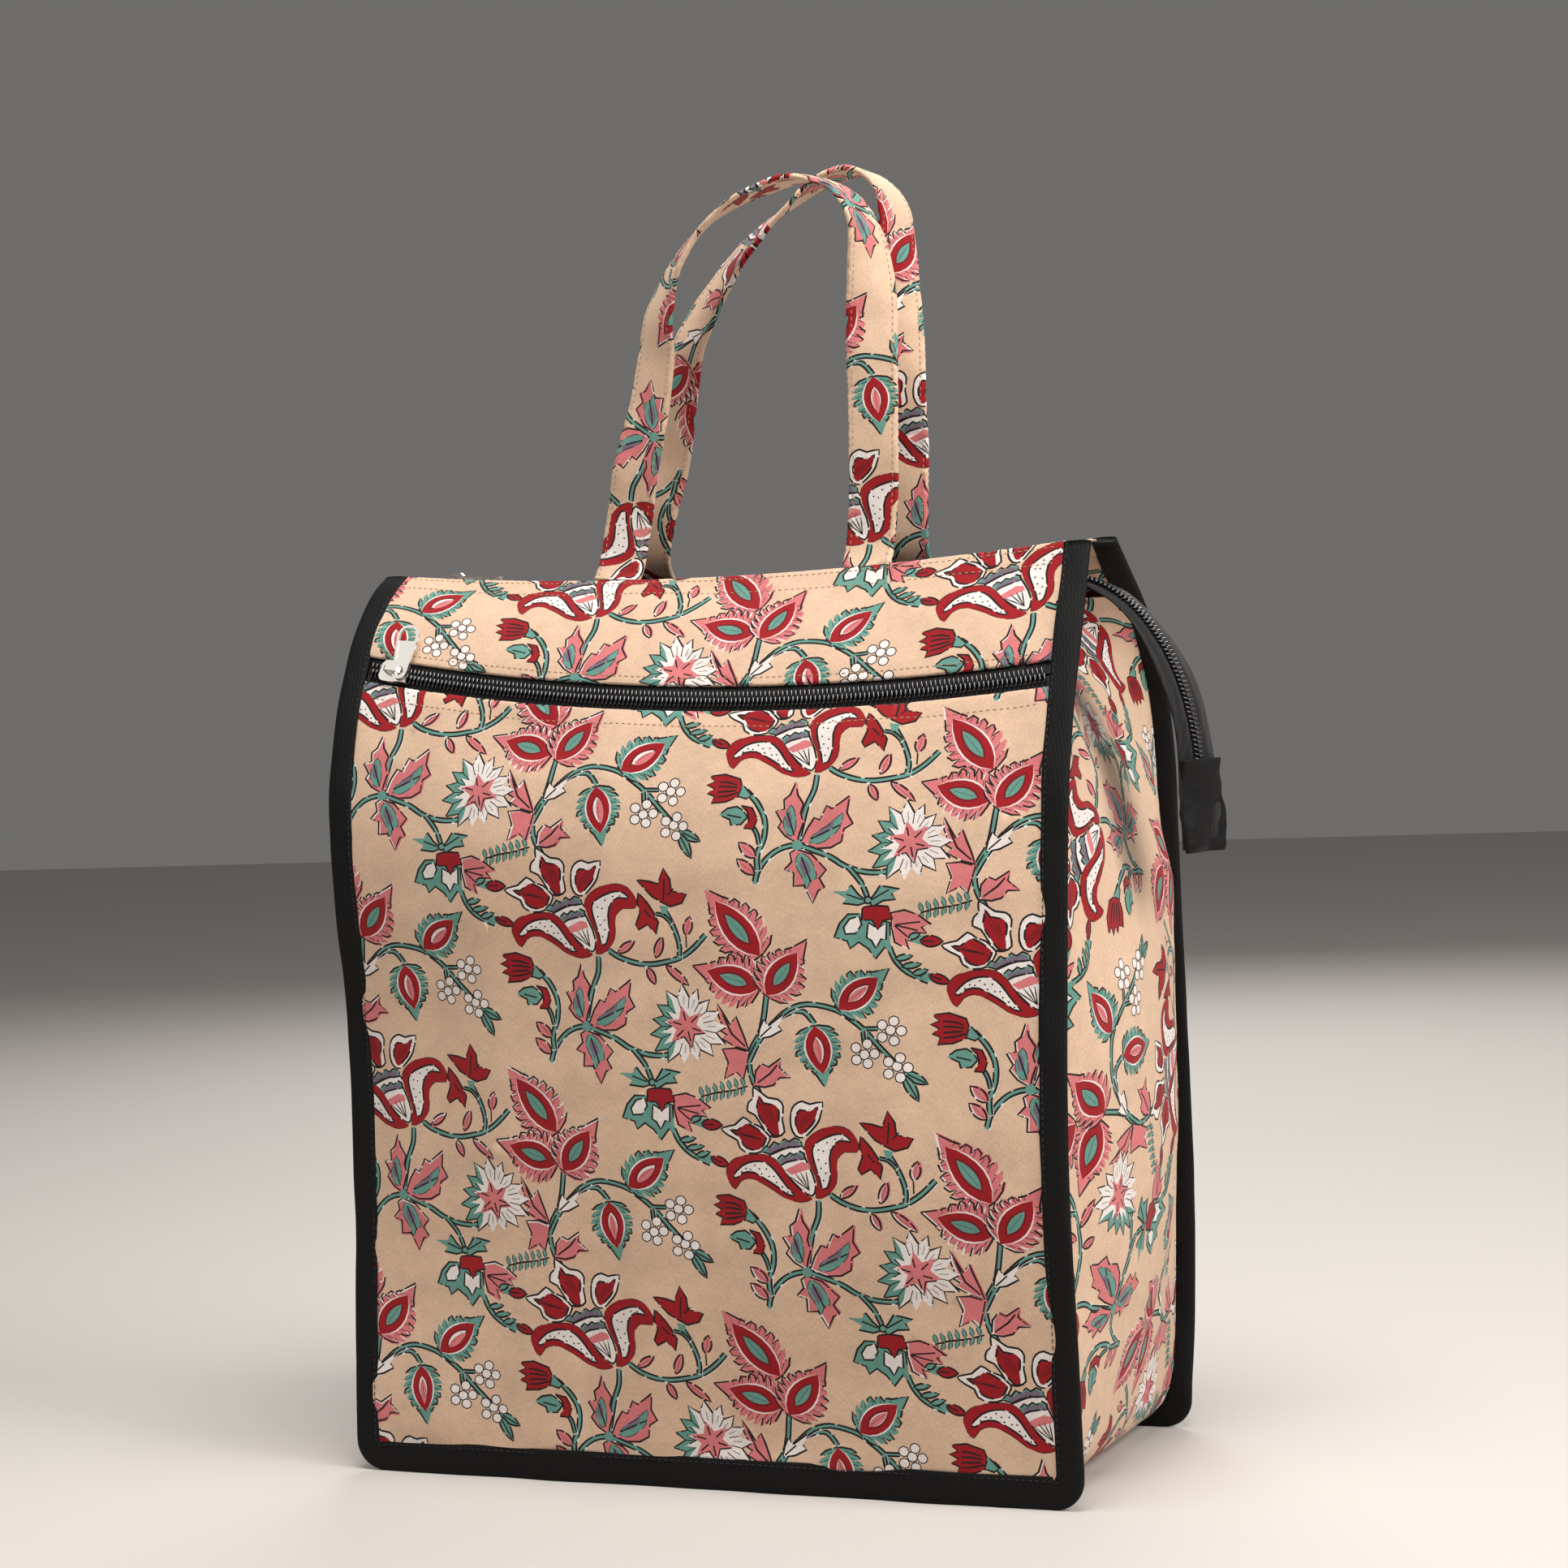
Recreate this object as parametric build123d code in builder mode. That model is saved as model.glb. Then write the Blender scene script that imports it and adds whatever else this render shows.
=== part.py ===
from build123d import *
import os
from math import asin, cos, radians, sin

os.makedirs("parts", exist_ok=True)

# Body of the bag
body_width = 360.0
body_height = 420.0
body_depth = 164.0
cloth = 1.6
seam_gap = 0.3
half_width = body_width / 2
half_depth = body_depth / 2

# Binding folded over the raw edges of the front and back
binding_width = 12.5
binding_foot = 14.5
binding_thickness = 3.2
binding_corner = 12.0
panel_half = half_width - binding_width

# Front edge line on the left and right: shares of the height and of the half depth
edge_height_shares = [0.19, 0.36, 0.55, 0.715]
left_edge_shares = [0.94, 0.89, 0.915, 0.99]
right_edge_shares = [1.02, 1.04, 0.93, 0.80]
belly = 11.0
belly_shares = [0.55, 1.0, 1.0, 0.8]
station_shares = [0.0, 0.25, 0.5, 0.75, 1.0]
line_steps = 10

# Front pocket zip: a shallow arc in a leaning plane
left_zip_height_share = 0.8976
right_zip_height_share = 0.857
left_zip_depth_share = 0.73
right_zip_depth_share = 0.55
zip_lean = 26.0
zip_sag = 14.0
slot_half = 7.2

# Hem along the top edges
hem_band = 12.0
hem_sag = 8.0
left_hem_height_share = 1.002
right_hem_height_share = 0.995
hem_depth_share = 0.22
hem_bow = 4.0
left_hem_lean = 60.0
right_hem_lean = 25.0

# Back edge line: shares of the height and of the half depth
back_height_shares = [0.07, 0.17, 0.31, 0.5, 0.69, 0.81, 0.87, 0.943]
back_edge_shares = [1.05, 1.17, 1.23, 1.21, 1.2, 1.14, 1.0, 0.64]
back_belly_shares = [0.1, 0.5, 1.0, 1.0, 0.9, 0.5, 0.2, 0.0]
back_hem_depth_share = 0.244
back_hem_lean = 48.0
back_belly = 8.0
back_steps = 14

# Gusset: one strip down one side, under the bottom and up the other side
gusset_inset = 9.0
gusset_corner = 28.0
gusset_height_shares = [0.12, 0.19, 0.28, 0.36, 0.45, 0.55, 0.63, 0.71, 0.76, 0.81, 0.845, 0.88, 0.91, 0.94]
gusset_bulges = [4.5, 11.0, 17.0, 20.5, 22.0, 20.5, 17.0, 11.0, 4.5, -5.0, -14.0, -25.0, -36.0, -47.0]
gusset_round_power = 2.4
gusset_fold_power = 1.4
gusset_steps = 8
seam_half = half_width - gusset_inset
gusset_half = half_depth - binding_thickness / 2 - seam_gap

# Pocket lining behind the front
pocket_room = 15.0
pocket_station_shares = [0.0, 0.07, 0.2, 0.5, 0.8, 0.93, 1.0]
pocket_power = 6
lining_yoke_share = 0.3
lining_ramp_share = 0.12

# Carrying straps
strap_width = 24.0
strap_thickness = 2.6
strap_rise = 175.0
strap_base_share = 0.22
strap_seat = 0.8
strap_step = 18.0
strap_step_turn = 4.0
front_strap_across_shares = [
    -0.149, -0.125, -0.103, -0.086, -0.071, -0.043, -0.012, 0.050,
    0.124, 0.178, 0.208, 0.219, 0.218, 0.215, 0.212, 0.203]
front_strap_rise_shares = [
    0.0, 0.23, 0.40, 0.57, 0.70, 0.815, 0.885, 0.95,
    0.985, 0.945, 0.86, 0.75, 0.60, 0.40, 0.20, 0.0]
front_strap_turns = [0, 0, -10, -25, -41, -57, -70, -84, -90, -88, -76, -55, -25, -8, -2, 0]
front_strap_depth = -14.0
back_strap_across_shares = [
    -0.153, -0.118, -0.096, -0.068, -0.018, 0.045, 0.098, 0.138,
    0.160, 0.198, 0.219, 0.221, 0.220, 0.219, 0.218, 0.217]
back_strap_rise_shares = [
    0.0, 0.28, 0.48, 0.64, 0.78, 0.90, 0.975, 1.015,
    1.022, 0.985, 0.90, 0.76, 0.60, 0.40, 0.20, 0.0]
back_strap_turns = [0, -6, -18, -30, -46, -65, -82, -90, -90, -88, -76, -55, -30, -12, -4, 0]
back_strap_depth = 18.0

# Zip sizes, shared by both zips
tape = 0.8
tape_half = 12.5
lining_near = cloth + tape + 2 * seam_gap
coil_inner = 0.6
coil_outer = 3.8
coil_height = 2.6
coil_pitch = 2.1
coil_tooth_share = 0.34
coil_end = 1.0
coil_lift = 0.2

# Top zip: straight along the mouth, with a tail that hangs over the right side
mouth_middle = 1.0
top_zip_left_height_share = 0.9893
top_zip_right_height_share = 0.9619
top_zip_straight_share = 0.3889
mouth_search_share = 1.5
tail_tape_half = 16.0
tail_across_shares = [0.444, 0.481, 0.525, 0.561, 0.586, 0.603, 0.610]
tail_height_shares = [0.9595, 0.953, 0.93, 0.893, 0.850, 0.795, 0.736]
tail_end_share = 0.66
tab_length = 40.0
tab_width = 35.0
tab_thickness = 4.4

# Zip sliders and pulls
slider_length = 15.0
slider_width = 10.8
slider_plate = 1.2
slider_clear = 0.4
slider_flange = 0.7
slider_flange_lift = 0.5
slider_post = 0.5
slider_outline_shares = [
    (-0.5, 0.30), (-0.40, 0.47), (-0.30, 0.5), (-0.05, 0.5), (0.2, 0.44), (0.46, 0.42), (0.5, 0.38)]
slider_post_share = 0.12
crown_length = 9.0
crown_width = 2.4
crown_bar = 1.2
crown_post = 1.8
crown_room = 2.6
pull_thickness = 1.4
pull_eye_radius = 3.9
pull_hole_radius = 2.25
pull_end_radius = 5.6
pull_reach = 18.5
pull_rim = 1.3
pull_recess = 0.35
pull_panel_start = 5.6
pull_window_start_share = 0.86
pull_lift = 0.3
front_pull_turn = 97.0
slider_inset = 15.5
slider_rest = slider_inset - panel_half
slider_channel_share = 1.5


def blend(first, last, share):
    """A value between two others."""
    return first + (last - first) * share


def bow(across):
    """Nought at both ends of the width and one midway."""
    return 4 * across * (1 - across)


def across_x(across):
    """Place across the front, from one binding to the other."""
    return blend(-panel_half, panel_half, across)


# Frame of the front zip
left_zip = Vector(-panel_half, -half_depth * left_zip_depth_share, body_height * left_zip_height_share)
right_zip = Vector(panel_half, -half_depth * right_zip_depth_share, body_height * right_zip_height_share)
zip_chord = right_zip - left_zip
zip_way = Vector(0, sin(radians(zip_lean)), cos(radians(zip_lean)))
zip_out = zip_chord.cross(zip_way).normalized()
zip_plane = Plane(origin=(left_zip + right_zip) * 0.5, x_dir=zip_chord.normalized(), z_dir=zip_out)
zip_half = zip_chord.length / 2
zip_radius = (zip_half**2 + zip_sag**2) / (2 * zip_sag)
zip_face = zip_plane.offset(-(cloth / 2 + seam_gap))


def on_arc(lift, turn):
    """Point of the zip's plane at a height above the chain line."""
    reach = zip_radius - lift
    return Vector(reach * sin(turn), zip_radius - zip_sag - reach * cos(turn))


def turn_at(x, lift):
    """Turn along the arc that comes to a place across the bag."""
    turn = asin(x / zip_radius)
    for _ in range(4):
        turn += (x - zip_plane.from_local_coords(on_arc(lift, turn)).X) / zip_radius
    return turn


def zip_edge(x, lift):
    """Depth and height of a cloth edge beside the zip."""
    point = zip_plane.from_local_coords(on_arc(lift, turn_at(x, lift)))
    return (point.Y, point.Z)


def lean_way(lean):
    """Direction, in depth and height, of cloth that leans back."""
    return (sin(radians(lean)), cos(radians(lean)))


def panel_line(across):
    """Middle line of the front panel, from the foot binding to the zip."""
    points = [(-half_depth, binding_foot)]
    for height, left, right, swell in zip(edge_height_shares, left_edge_shares, right_edge_shares, belly_shares):
        depth = half_depth * blend(left, right, across) + belly * swell * bow(across)
        points.append((-depth, body_height * height))
    points.append(zip_edge(across_x(across), -slot_half))
    return Spline(*points, tangents=[(0, 1), lean_way(zip_lean)])


def yoke_line(across):
    """Middle line of the yoke, from the zip to the top hem."""
    hem_height = body_height * blend(left_hem_height_share, right_hem_height_share, across)
    hem = (-half_depth * hem_depth_share - hem_bow * bow(across), hem_height - hem_sag * bow(across))
    ways = [lean_way(zip_lean), lean_way(blend(left_hem_lean, right_hem_lean, across))]
    return Spline(zip_edge(across_x(across), slot_half), hem, tangents=ways)


def back_line(across):
    """Middle line of the back panel, from the foot binding to the top hem."""
    points = [(half_depth, binding_foot)]
    for height, edge, swell in zip(back_height_shares, back_edge_shares, back_belly_shares):
        points.append((half_depth * edge + back_belly * swell * bow(across), body_height * height))
    points.append((half_depth * back_hem_depth_share + hem_bow * bow(across), body_height - hem_sag * bow(across)))
    lean = lean_way(back_hem_lean)
    return Spline(*points, tangents=[(0, 1), (-lean[0], lean[1])])


def set_off(line, steps, offset):
    """Points along a line, set off to its left-hand side."""
    points = []
    for step in range(steps + 1):
        place = line @ (step / steps)
        way = line % (step / steps)
        points.append((place.X - way.Y * offset, place.Y + way.X * offset))
    return points


def strip(plane, outer, inner):
    """Thin face between two rows of points."""
    with BuildSketch(plane, mode=Mode.PRIVATE) as sketch:
        with BuildLine():
            Spline(*outer)
            Line(outer[-1], inner[-1])
            Spline(*inner[::-1])
            Line(inner[0], outer[0])
        make_face()
    return sketch.sketch


def cloth_strip(across, line, steps):
    """Cloth cut across at one place of the width."""
    plane = Plane.YZ.offset(across_x(across))
    return strip(plane, set_off(line, steps, cloth / 2), set_off(line, steps, -cloth / 2))


def hemmed_strip(across, line, steps, inside):
    """Cloth whose top edge is folded inside as a hem."""
    fold_share = 1 - hem_band / line.length
    hem = line.trim(fold_share, 1)
    outer = set_off(line, steps, -inside * cloth / 2)
    inner = set_off(line.trim(0, fold_share), steps, inside * cloth / 2)
    fold = set_off(hem, steps, inside * (cloth / 2 + cloth))
    with BuildSketch(Plane.YZ.offset(across_x(across)), mode=Mode.PRIVATE) as sketch:
        with BuildLine():
            Spline(*outer)
            Line(outer[-1], fold[-1])
            Spline(*fold[::-1])
            Line(fold[0], inner[-1])
            Spline(*inner[::-1])
            Line(inner[0], outer[0])
        make_face()
    return sketch.sketch


def level_depth(points, height):
    """Depth of a row of points at a height."""
    for low, high in zip(points, points[1:]):
        if low[1] <= height <= high[1]:
            return blend(low[0], high[0], (height - low[1]) / (high[1] - low[1]))
    return points[-1][0] if height > points[-1][1] else points[0][0]


def front_edge(across):
    """Points of the front edge line, from the floor to the hem."""
    panel = set_off(panel_line(across), line_steps, 0)
    return [(-half_depth, 0)] + panel + set_off(yoke_line(across), line_steps, 0)


def back_edge(across):
    """Points of the back edge line, from the floor to the hem."""
    return [(half_depth, 0)] + set_off(back_line(across), 2 * back_steps, 0)


def behind(edge, side):
    """Edge line moved to just inside the binding."""
    line = Spline(*edge)
    return set_off(line, 3 * len(edge), side * (binding_thickness / 2 + seam_gap))


# Front panel below the zip
with BuildPart() as front_panel:
    loft(sections=[cloth_strip(across, panel_line(across), line_steps) for across in station_shares])
front_panel.part.label = "front_panel"
export_step(front_panel.part, "parts/front_panel.step")

# Yoke between the zip and the top hem
with BuildPart() as front_yoke:
    loft(sections=[hemmed_strip(across, yoke_line(across), line_steps, -1) for across in station_shares])
front_yoke.part.label = "front_yoke"
export_step(front_yoke.part, "parts/front_yoke.step")

# Back panel
with BuildPart() as back_panel:
    loft(sections=[hemmed_strip(across, back_line(across), back_steps, 1) for across in station_shares])
back_panel.part.label = "back_panel"
export_step(back_panel.part, "parts/back_panel.step")


def lining_strip(across):
    """Pocket lining cut across, slack behind the front."""
    panel = panel_line(across)
    lower = panel.trim((gusset_corner - binding_foot) / panel.length, 1)
    upper = yoke_line(across).trim(0, lining_yoke_share)
    total = lower.length + 2 * slot_half + upper.length
    room = pocket_room * (1 - (2 * across - 1)**pocket_power)
    rows = [[], []]
    for piece, start in ((lower, 0), (upper, lower.length + 2 * slot_half)):
        for step in range(line_steps + 1):
            place = piece @ (step / line_steps)
            way = piece % (step / line_steps)
            along = (start + piece.length * step / line_steps) / total
            ramp = min(1, along / lining_ramp_share, (1 - along) / lining_ramp_share)
            for row, side in zip(rows, (-cloth / 2, cloth / 2)):
                back = lining_near + room * ramp + side
                row.append((place.X + way.Y * back, place.Y - way.X * back))
    return strip(Plane.YZ.offset(across_x(across)), rows[0], rows[1])


# Lining that closes the front pocket behind
with BuildPart() as pocket_lining:
    loft(sections=[lining_strip(across) for across in pocket_station_shares])
pocket_lining.part.label = "pocket_lining"
export_step(pocket_lining.part, "parts/pocket_lining.step")


def side_strip(across, height, bulge):
    """Gusset cut level at a height on one side."""
    side = 2 * across - 1
    front = level_depth(behind(front_edge(across), -1), height)
    back = level_depth(behind(back_edge(across), 1), height)
    power = gusset_round_power if bulge > 0 else gusset_fold_power
    shares = [step / gusset_steps for step in range(gusset_steps + 1)]
    outs = [seam_half - cloth / 2 + bulge * (1 - abs(2 * share - 1)**power) for share in shares]
    slope = abs(outs[1] - outs[0]) * gusset_steps / (back - front)
    clear = cloth / 2 * slope / (1 + slope**2)**0.5
    points = [(side * out, blend(front + clear, back - clear, share)) for out, share in zip(outs, shares)]
    line = Spline(*points)
    outer = set_off(line, 2 * gusset_steps, cloth / 2)
    inner = set_off(line, 2 * gusset_steps, -cloth / 2)
    return strip(Plane.XY.offset(height), outer, inner)


# Gusset: bottom and rounded corners, then a bulging side with a fold at its top
with BuildPart() as gusset:
    with BuildSketch(Plane.XZ):
        with BuildLine():
            for round_radius, out in ((gusset_corner, seam_half), (gusset_corner - cloth, seam_half - cloth)):
                foot = gusset_corner - round_radius
                turn = seam_half - gusset_corner
                Line((-turn, foot), (turn, foot))
                RadiusArc((turn, foot), (out, gusset_corner), -round_radius)
                RadiusArc((-out, gusset_corner), (-turn, foot), -round_radius)
            for side in (-1, 1):
                Line((side * (seam_half - cloth), gusset_corner), (side * seam_half, gusset_corner))
        make_face()
    extrude(amount=gusset_half, both=True)
    for across in (0, 1):
        sections = [side_strip(across, gusset_corner, 0)]
        for share, bulge in zip(gusset_height_shares, gusset_bulges):
            sections.append(side_strip(across, body_height * share, bulge))
        loft(sections=sections)
gusset.part.label = "gusset"
export_step(gusset.part, "parts/gusset.step")


def binding_strip(across, edge, hem_way):
    """Side run of a binding above its foot, seen from the side."""
    line = Spline(*edge[1:], tangents=[(0, 1), hem_way])
    steps = 2 * len(edge)
    outer = set_off(line, steps, binding_thickness / 2)
    inner = set_off(line, steps, -binding_thickness / 2)
    start = panel_half if across else -half_width
    return strip(Plane.YZ.offset(start), outer, inner)


def foot_corners():
    """Waste outside the rounded lower corners, seen from the front."""
    with BuildSketch(Plane.XZ, mode=Mode.PRIVATE) as waste:
        for side in (-1, 1):
            with Locations((side * (half_width - binding_corner / 2), binding_corner / 2)):
                Rectangle(binding_corner, binding_corner)
            with Locations((side * (half_width - binding_corner), binding_corner)):
                Circle(binding_corner, mode=Mode.SUBTRACT)
    return waste.sketch


# Binding round the sides and foot of the front
with BuildPart() as front_binding:
    for across in (0, 1):
        extrude(binding_strip(across, front_edge(across), yoke_line(across) % 1), amount=binding_width)
    with BuildSketch(Plane.XY):
        with Locations((0, -half_depth)):
            Rectangle(body_width, binding_thickness)
    extrude(amount=binding_foot)
    extrude(foot_corners(), amount=body_depth, both=True, mode=Mode.SUBTRACT)
front_binding.part.label = "front_binding"
export_step(front_binding.part, "parts/front_binding.step")

# Binding round the sides and foot of the back
with BuildPart() as back_binding:
    for across in (0, 1):
        extrude(binding_strip(across, back_edge(across), back_line(across) % 1), amount=binding_width)
    with BuildSketch(Plane.XY):
        with Locations((0, half_depth)):
            Rectangle(body_width, binding_thickness)
    extrude(amount=binding_foot)
    extrude(foot_corners(), amount=body_depth, both=True, mode=Mode.SUBTRACT)
back_binding.part.label = "back_binding"
export_step(back_binding.part, "parts/back_binding.step")


def strap_planes(across_shares, rise_shares, turns, depth, hem_line, side):
    """Cutting planes along a strap that twists on its way over."""
    points = []
    ways = []
    for across_share, rise_share in zip(across_shares, rise_shares):
        x = body_width * across_share
        hem = hem_line((x + panel_half) / (2 * panel_half))
        settle = min(1, rise_share / strap_base_share)
        y = blend((hem @ 1).X - side * cloth / 2, depth, settle)
        z = blend((hem @ 1).Y - cloth / 2, body_height, settle) + strap_rise * rise_share + strap_seat
        points.append(Vector(x, y, z))
        ways.append(Vector(0, (hem % 1).X, (hem % 1).Y))
    path = Spline(*points, tangents=[ways[0], ways[-1] * -1])
    marks = [path.param_at_point(point) for point in points]
    planes = []
    for here, there, turn, next_turn in zip(marks, marks[1:], turns, turns[1:]):
        steps = 1 + int(max(abs(next_turn - turn) / strap_step_turn, (there - here) * path.length / strap_step))
        for step in range(steps + (there == marks[-1])):
            mark = blend(here, there, step / steps)
            twist = radians(blend(turn, next_turn, step / steps))
            way = path.tangent_at(mark)
            flat = way.cross(Vector(0, 1, 0)).normalized()
            width_way = flat * cos(twist) + way.cross(flat) * sin(twist)
            planes.append(Plane(origin=path.position_at(mark), x_dir=width_way, z_dir=way))
    return planes


def strap(planes):
    """Flat faces across a strap."""
    faces = []
    for plane in planes:
        with BuildSketch(plane, mode=Mode.PRIVATE) as sketch:
            Rectangle(strap_width, strap_thickness)
        faces.append(sketch.sketch)
    return faces


# Front strap, flat at the hem and edge-on at the top
with BuildPart() as front_handle:
    loft(sections=strap(strap_planes(
        front_strap_across_shares, front_strap_rise_shares, front_strap_turns, front_strap_depth, yoke_line, -1)))
front_handle.part.label = "front_handle"
export_step(front_handle.part, "parts/front_handle.step")

# Back strap
with BuildPart() as back_handle:
    loft(sections=strap(strap_planes(
        back_strap_across_shares, back_strap_rise_shares, back_strap_turns, back_strap_depth, back_line, 1)))
back_handle.part.label = "back_handle"
export_step(back_handle.part, "parts/back_handle.step")


def arc_band(low, high):
    """Band along the zip's arc between two heights."""
    ends = []
    for lift in (low, high):
        stop = panel_half - seam_gap
        ends.append([on_arc(lift, turn_at(x, lift)) for x in (-stop, 0, stop)])
    with BuildSketch(zip_face, mode=Mode.PRIVATE) as sketch:
        with BuildLine():
            ThreePointArc(*ends[0])
            Line(ends[0][2], ends[1][2])
            ThreePointArc(*ends[1])
            Line(ends[1][0], ends[0][0])
        make_face()
    return sketch.sketch


def arc_coil(side):
    """Toothed band along the zip's arc on one side of its middle."""
    stop = turn_at(panel_half - coil_end, 0)
    start = turn_at(-panel_half + coil_end, 0)
    teeth = round((stop - start) * zip_radius / coil_pitch)
    tooth = coil_tooth_share * (coil_outer - coil_inner)
    points = [on_arc(side * coil_outer, start)]
    for step in range(2 * teeth + 1):
        drop = tooth if (step % 2) == (side > 0) else 0
        points.append(on_arc(side * (coil_inner + drop), blend(start, stop, step / (2 * teeth))))
    points.append(on_arc(side * coil_outer, stop))
    middle = on_arc(side * coil_outer, (start + stop) / 2)
    with BuildSketch(zip_face, mode=Mode.PRIVATE) as sketch:
        with BuildLine():
            Polyline(*points)
            ThreePointArc(points[-1], middle, points[0])
        make_face()
    return sketch.sketch


# Front zip tapes and their coils
with BuildPart() as front_zip_upper_tape:
    extrude(arc_band(coil_inner, tape_half), amount=-tape)
front_zip_upper_tape.part.label = "front_zip_upper_tape"
export_step(front_zip_upper_tape.part, "parts/front_zip_upper_tape.step")

with BuildPart() as front_zip_lower_tape:
    extrude(arc_band(-tape_half, -coil_inner), amount=-tape)
front_zip_lower_tape.part.label = "front_zip_lower_tape"
export_step(front_zip_lower_tape.part, "parts/front_zip_lower_tape.step")

with BuildPart() as front_zip_upper_coil:
    extrude(arc_coil(1), amount=coil_height)
front_zip_upper_coil.part.label = "front_zip_upper_coil"
export_step(front_zip_upper_coil.part, "parts/front_zip_upper_coil.step")

with BuildPart() as front_zip_lower_coil:
    extrude(arc_coil(-1), amount=coil_height)
front_zip_lower_coil.part.label = "front_zip_lower_coil"
export_step(front_zip_lower_coil.part, "parts/front_zip_lower_coil.step")

# Frame of the top zip, whose face is the upper side of its tape
top_start = Vector(-panel_half + seam_gap, mouth_middle, body_height * top_zip_left_height_share)
top_turn = Vector(body_width * top_zip_straight_share, mouth_middle, body_height * top_zip_right_height_share)
top_way = (top_turn - top_start).normalized()
top_up = top_way.cross(Vector(0, 1, 0)).normalized()
top_face = Plane(origin=top_start, x_dir=top_way, z_dir=top_up)
tail_points = [(top_turn.X, top_turn.Z)]
for across_share, height_share in zip(tail_across_shares, tail_height_shares):
    tail_points.append((body_width * across_share, body_height * height_share))
tail_points.append((tail_points[-1][0], body_height * tail_end_share))
tail_line = Spline(*tail_points, tangents=[(top_way.X, top_way.Z), (0, -1)])
tail_steps = 16


def mouth_depth(x, side):
    """Depth at which the hem's inner side meets the top zip."""
    share = (x + panel_half) / (2 * panel_half)
    line = yoke_line(share) if side < 0 else back_line(share)
    fold = line.trim(1 - mouth_search_share * hem_band / line.length, 1)
    height = blend(top_start.Z, top_turn.Z, (x - top_start.X) / (top_turn.X - top_start.X))
    return level_depth(set_off(fold, line_steps, side * (cloth / 2 + cloth)), height)


def top_tape(side):
    """Flat run of one top tape, as wide as the mouth."""
    length = (top_turn - top_start).length
    edge = []
    for share in station_shares:
        x = blend(top_start.X, top_turn.X, share)
        edge.append((length * share, mouth_depth(x, side) - mouth_middle - side * seam_gap))
    with BuildSketch(top_face, mode=Mode.PRIVATE) as sketch:
        with BuildLine():
            Line((length, side * coil_inner), (0, side * coil_inner))
            Line((0, side * coil_inner), edge[0])
            Spline(*edge)
            Line(edge[-1], (length, side * coil_inner))
        make_face()
    return sketch.sketch


def tail_strip(low, high):
    """Tail of the zip, seen from the front."""
    return strip(Plane.XZ, set_off(tail_line, tail_steps, high), set_off(tail_line, tail_steps, low))


def coil_profile():
    """Ridged band over the top zip and its tail, seen from the front."""
    run = (top_turn - top_start).length
    total = run + tail_line.length - tab_length
    ridges = round(total / coil_pitch)
    upper = []
    lower = []
    for step in range(2 * ridges + 1):
        along = total * step / (2 * ridges)
        if along < run:
            place = top_start + top_way * along
            here = (place.X, place.Z)
            up = (top_up.X, top_up.Z)
        else:
            spot = tail_line @ ((along - run) / tail_line.length)
            way = tail_line % ((along - run) / tail_line.length)
            here = (spot.X, spot.Y)
            up = (-way.Y, way.X)
        rise = coil_height * (1 if step % 2 else 1 - coil_tooth_share)
        upper.append((here[0] + up[0] * rise, here[1] + up[1] * rise))
        if step % 8 == 0 or step == 2 * ridges:
            lower.append((here[0] + up[0] * coil_lift, here[1] + up[1] * coil_lift))
    with BuildSketch(Plane.XZ.offset(-mouth_middle), mode=Mode.PRIVATE) as sketch:
        with BuildLine():
            Polyline(*upper, *lower[::-1], close=True)
        make_face()
    return sketch.sketch


# Top zip tapes and their coils
with BuildPart() as top_zip_front_tape:
    extrude(top_tape(-1), amount=-tape)
    tail = tail_strip(-tape, 0).moved(Location((0, mouth_middle - coil_inner, 0)))
    extrude(tail, amount=tail_tape_half - coil_inner)
top_zip_front_tape.part.label = "top_zip_front_tape"
export_step(top_zip_front_tape.part, "parts/top_zip_front_tape.step")

with BuildPart() as top_zip_back_tape:
    extrude(top_tape(1), amount=-tape)
    tail = tail_strip(-tape, 0).moved(Location((0, mouth_middle + coil_inner, 0)))
    extrude(tail, amount=-(tail_tape_half - coil_inner))
top_zip_back_tape.part.label = "top_zip_back_tape"
export_step(top_zip_back_tape.part, "parts/top_zip_back_tape.step")

with BuildPart() as top_zip_front_coil:
    extrude(coil_profile().moved(Location((0, -coil_inner, 0))), amount=coil_outer - coil_inner)
top_zip_front_coil.part.label = "top_zip_front_coil"
export_step(top_zip_front_coil.part, "parts/top_zip_front_coil.step")

with BuildPart() as top_zip_back_coil:
    extrude(coil_profile().moved(Location((0, coil_inner, 0))), amount=coil_inner - coil_outer)
top_zip_back_coil.part.label = "top_zip_back_coil"
export_step(top_zip_back_coil.part, "parts/top_zip_back_coil.step")

# Cloth tab folded round the end of the tail
tab_gap = seam_gap
tab_start_share = 1 - tab_length / tail_line.length
with BuildPart() as top_zip_end_tab:
    tab_line = tail_line.trim(tab_start_share, 1)
    tab_outer = set_off(tab_line, tail_steps, tab_thickness / 2 - tape / 2)
    tab_inner = set_off(tab_line, tail_steps, -tab_thickness / 2 - tape / 2)
    extrude(strip(Plane.XZ.offset(-mouth_middle), tab_outer, tab_inner), amount=tab_width / 2, both=True)
    slot_outer = set_off(tab_line, tail_steps, tab_gap)
    slot_inner = set_off(tab_line, tail_steps, -tape - tab_gap)
    slot = strip(Plane.XZ.offset(-mouth_middle), slot_outer, slot_inner)
    extrude(slot, amount=tail_tape_half + tab_gap, both=True, mode=Mode.SUBTRACT)
    with BuildSketch(Plane.XY.offset(tab_line.position_at(1).Y)):
        with Locations((tab_line.position_at(1).X - tape / 2, mouth_middle)):
            Rectangle(tab_thickness, tab_width)
    extrude(amount=-cloth)
top_zip_end_tab.part.label = "top_zip_end_tab"
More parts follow.
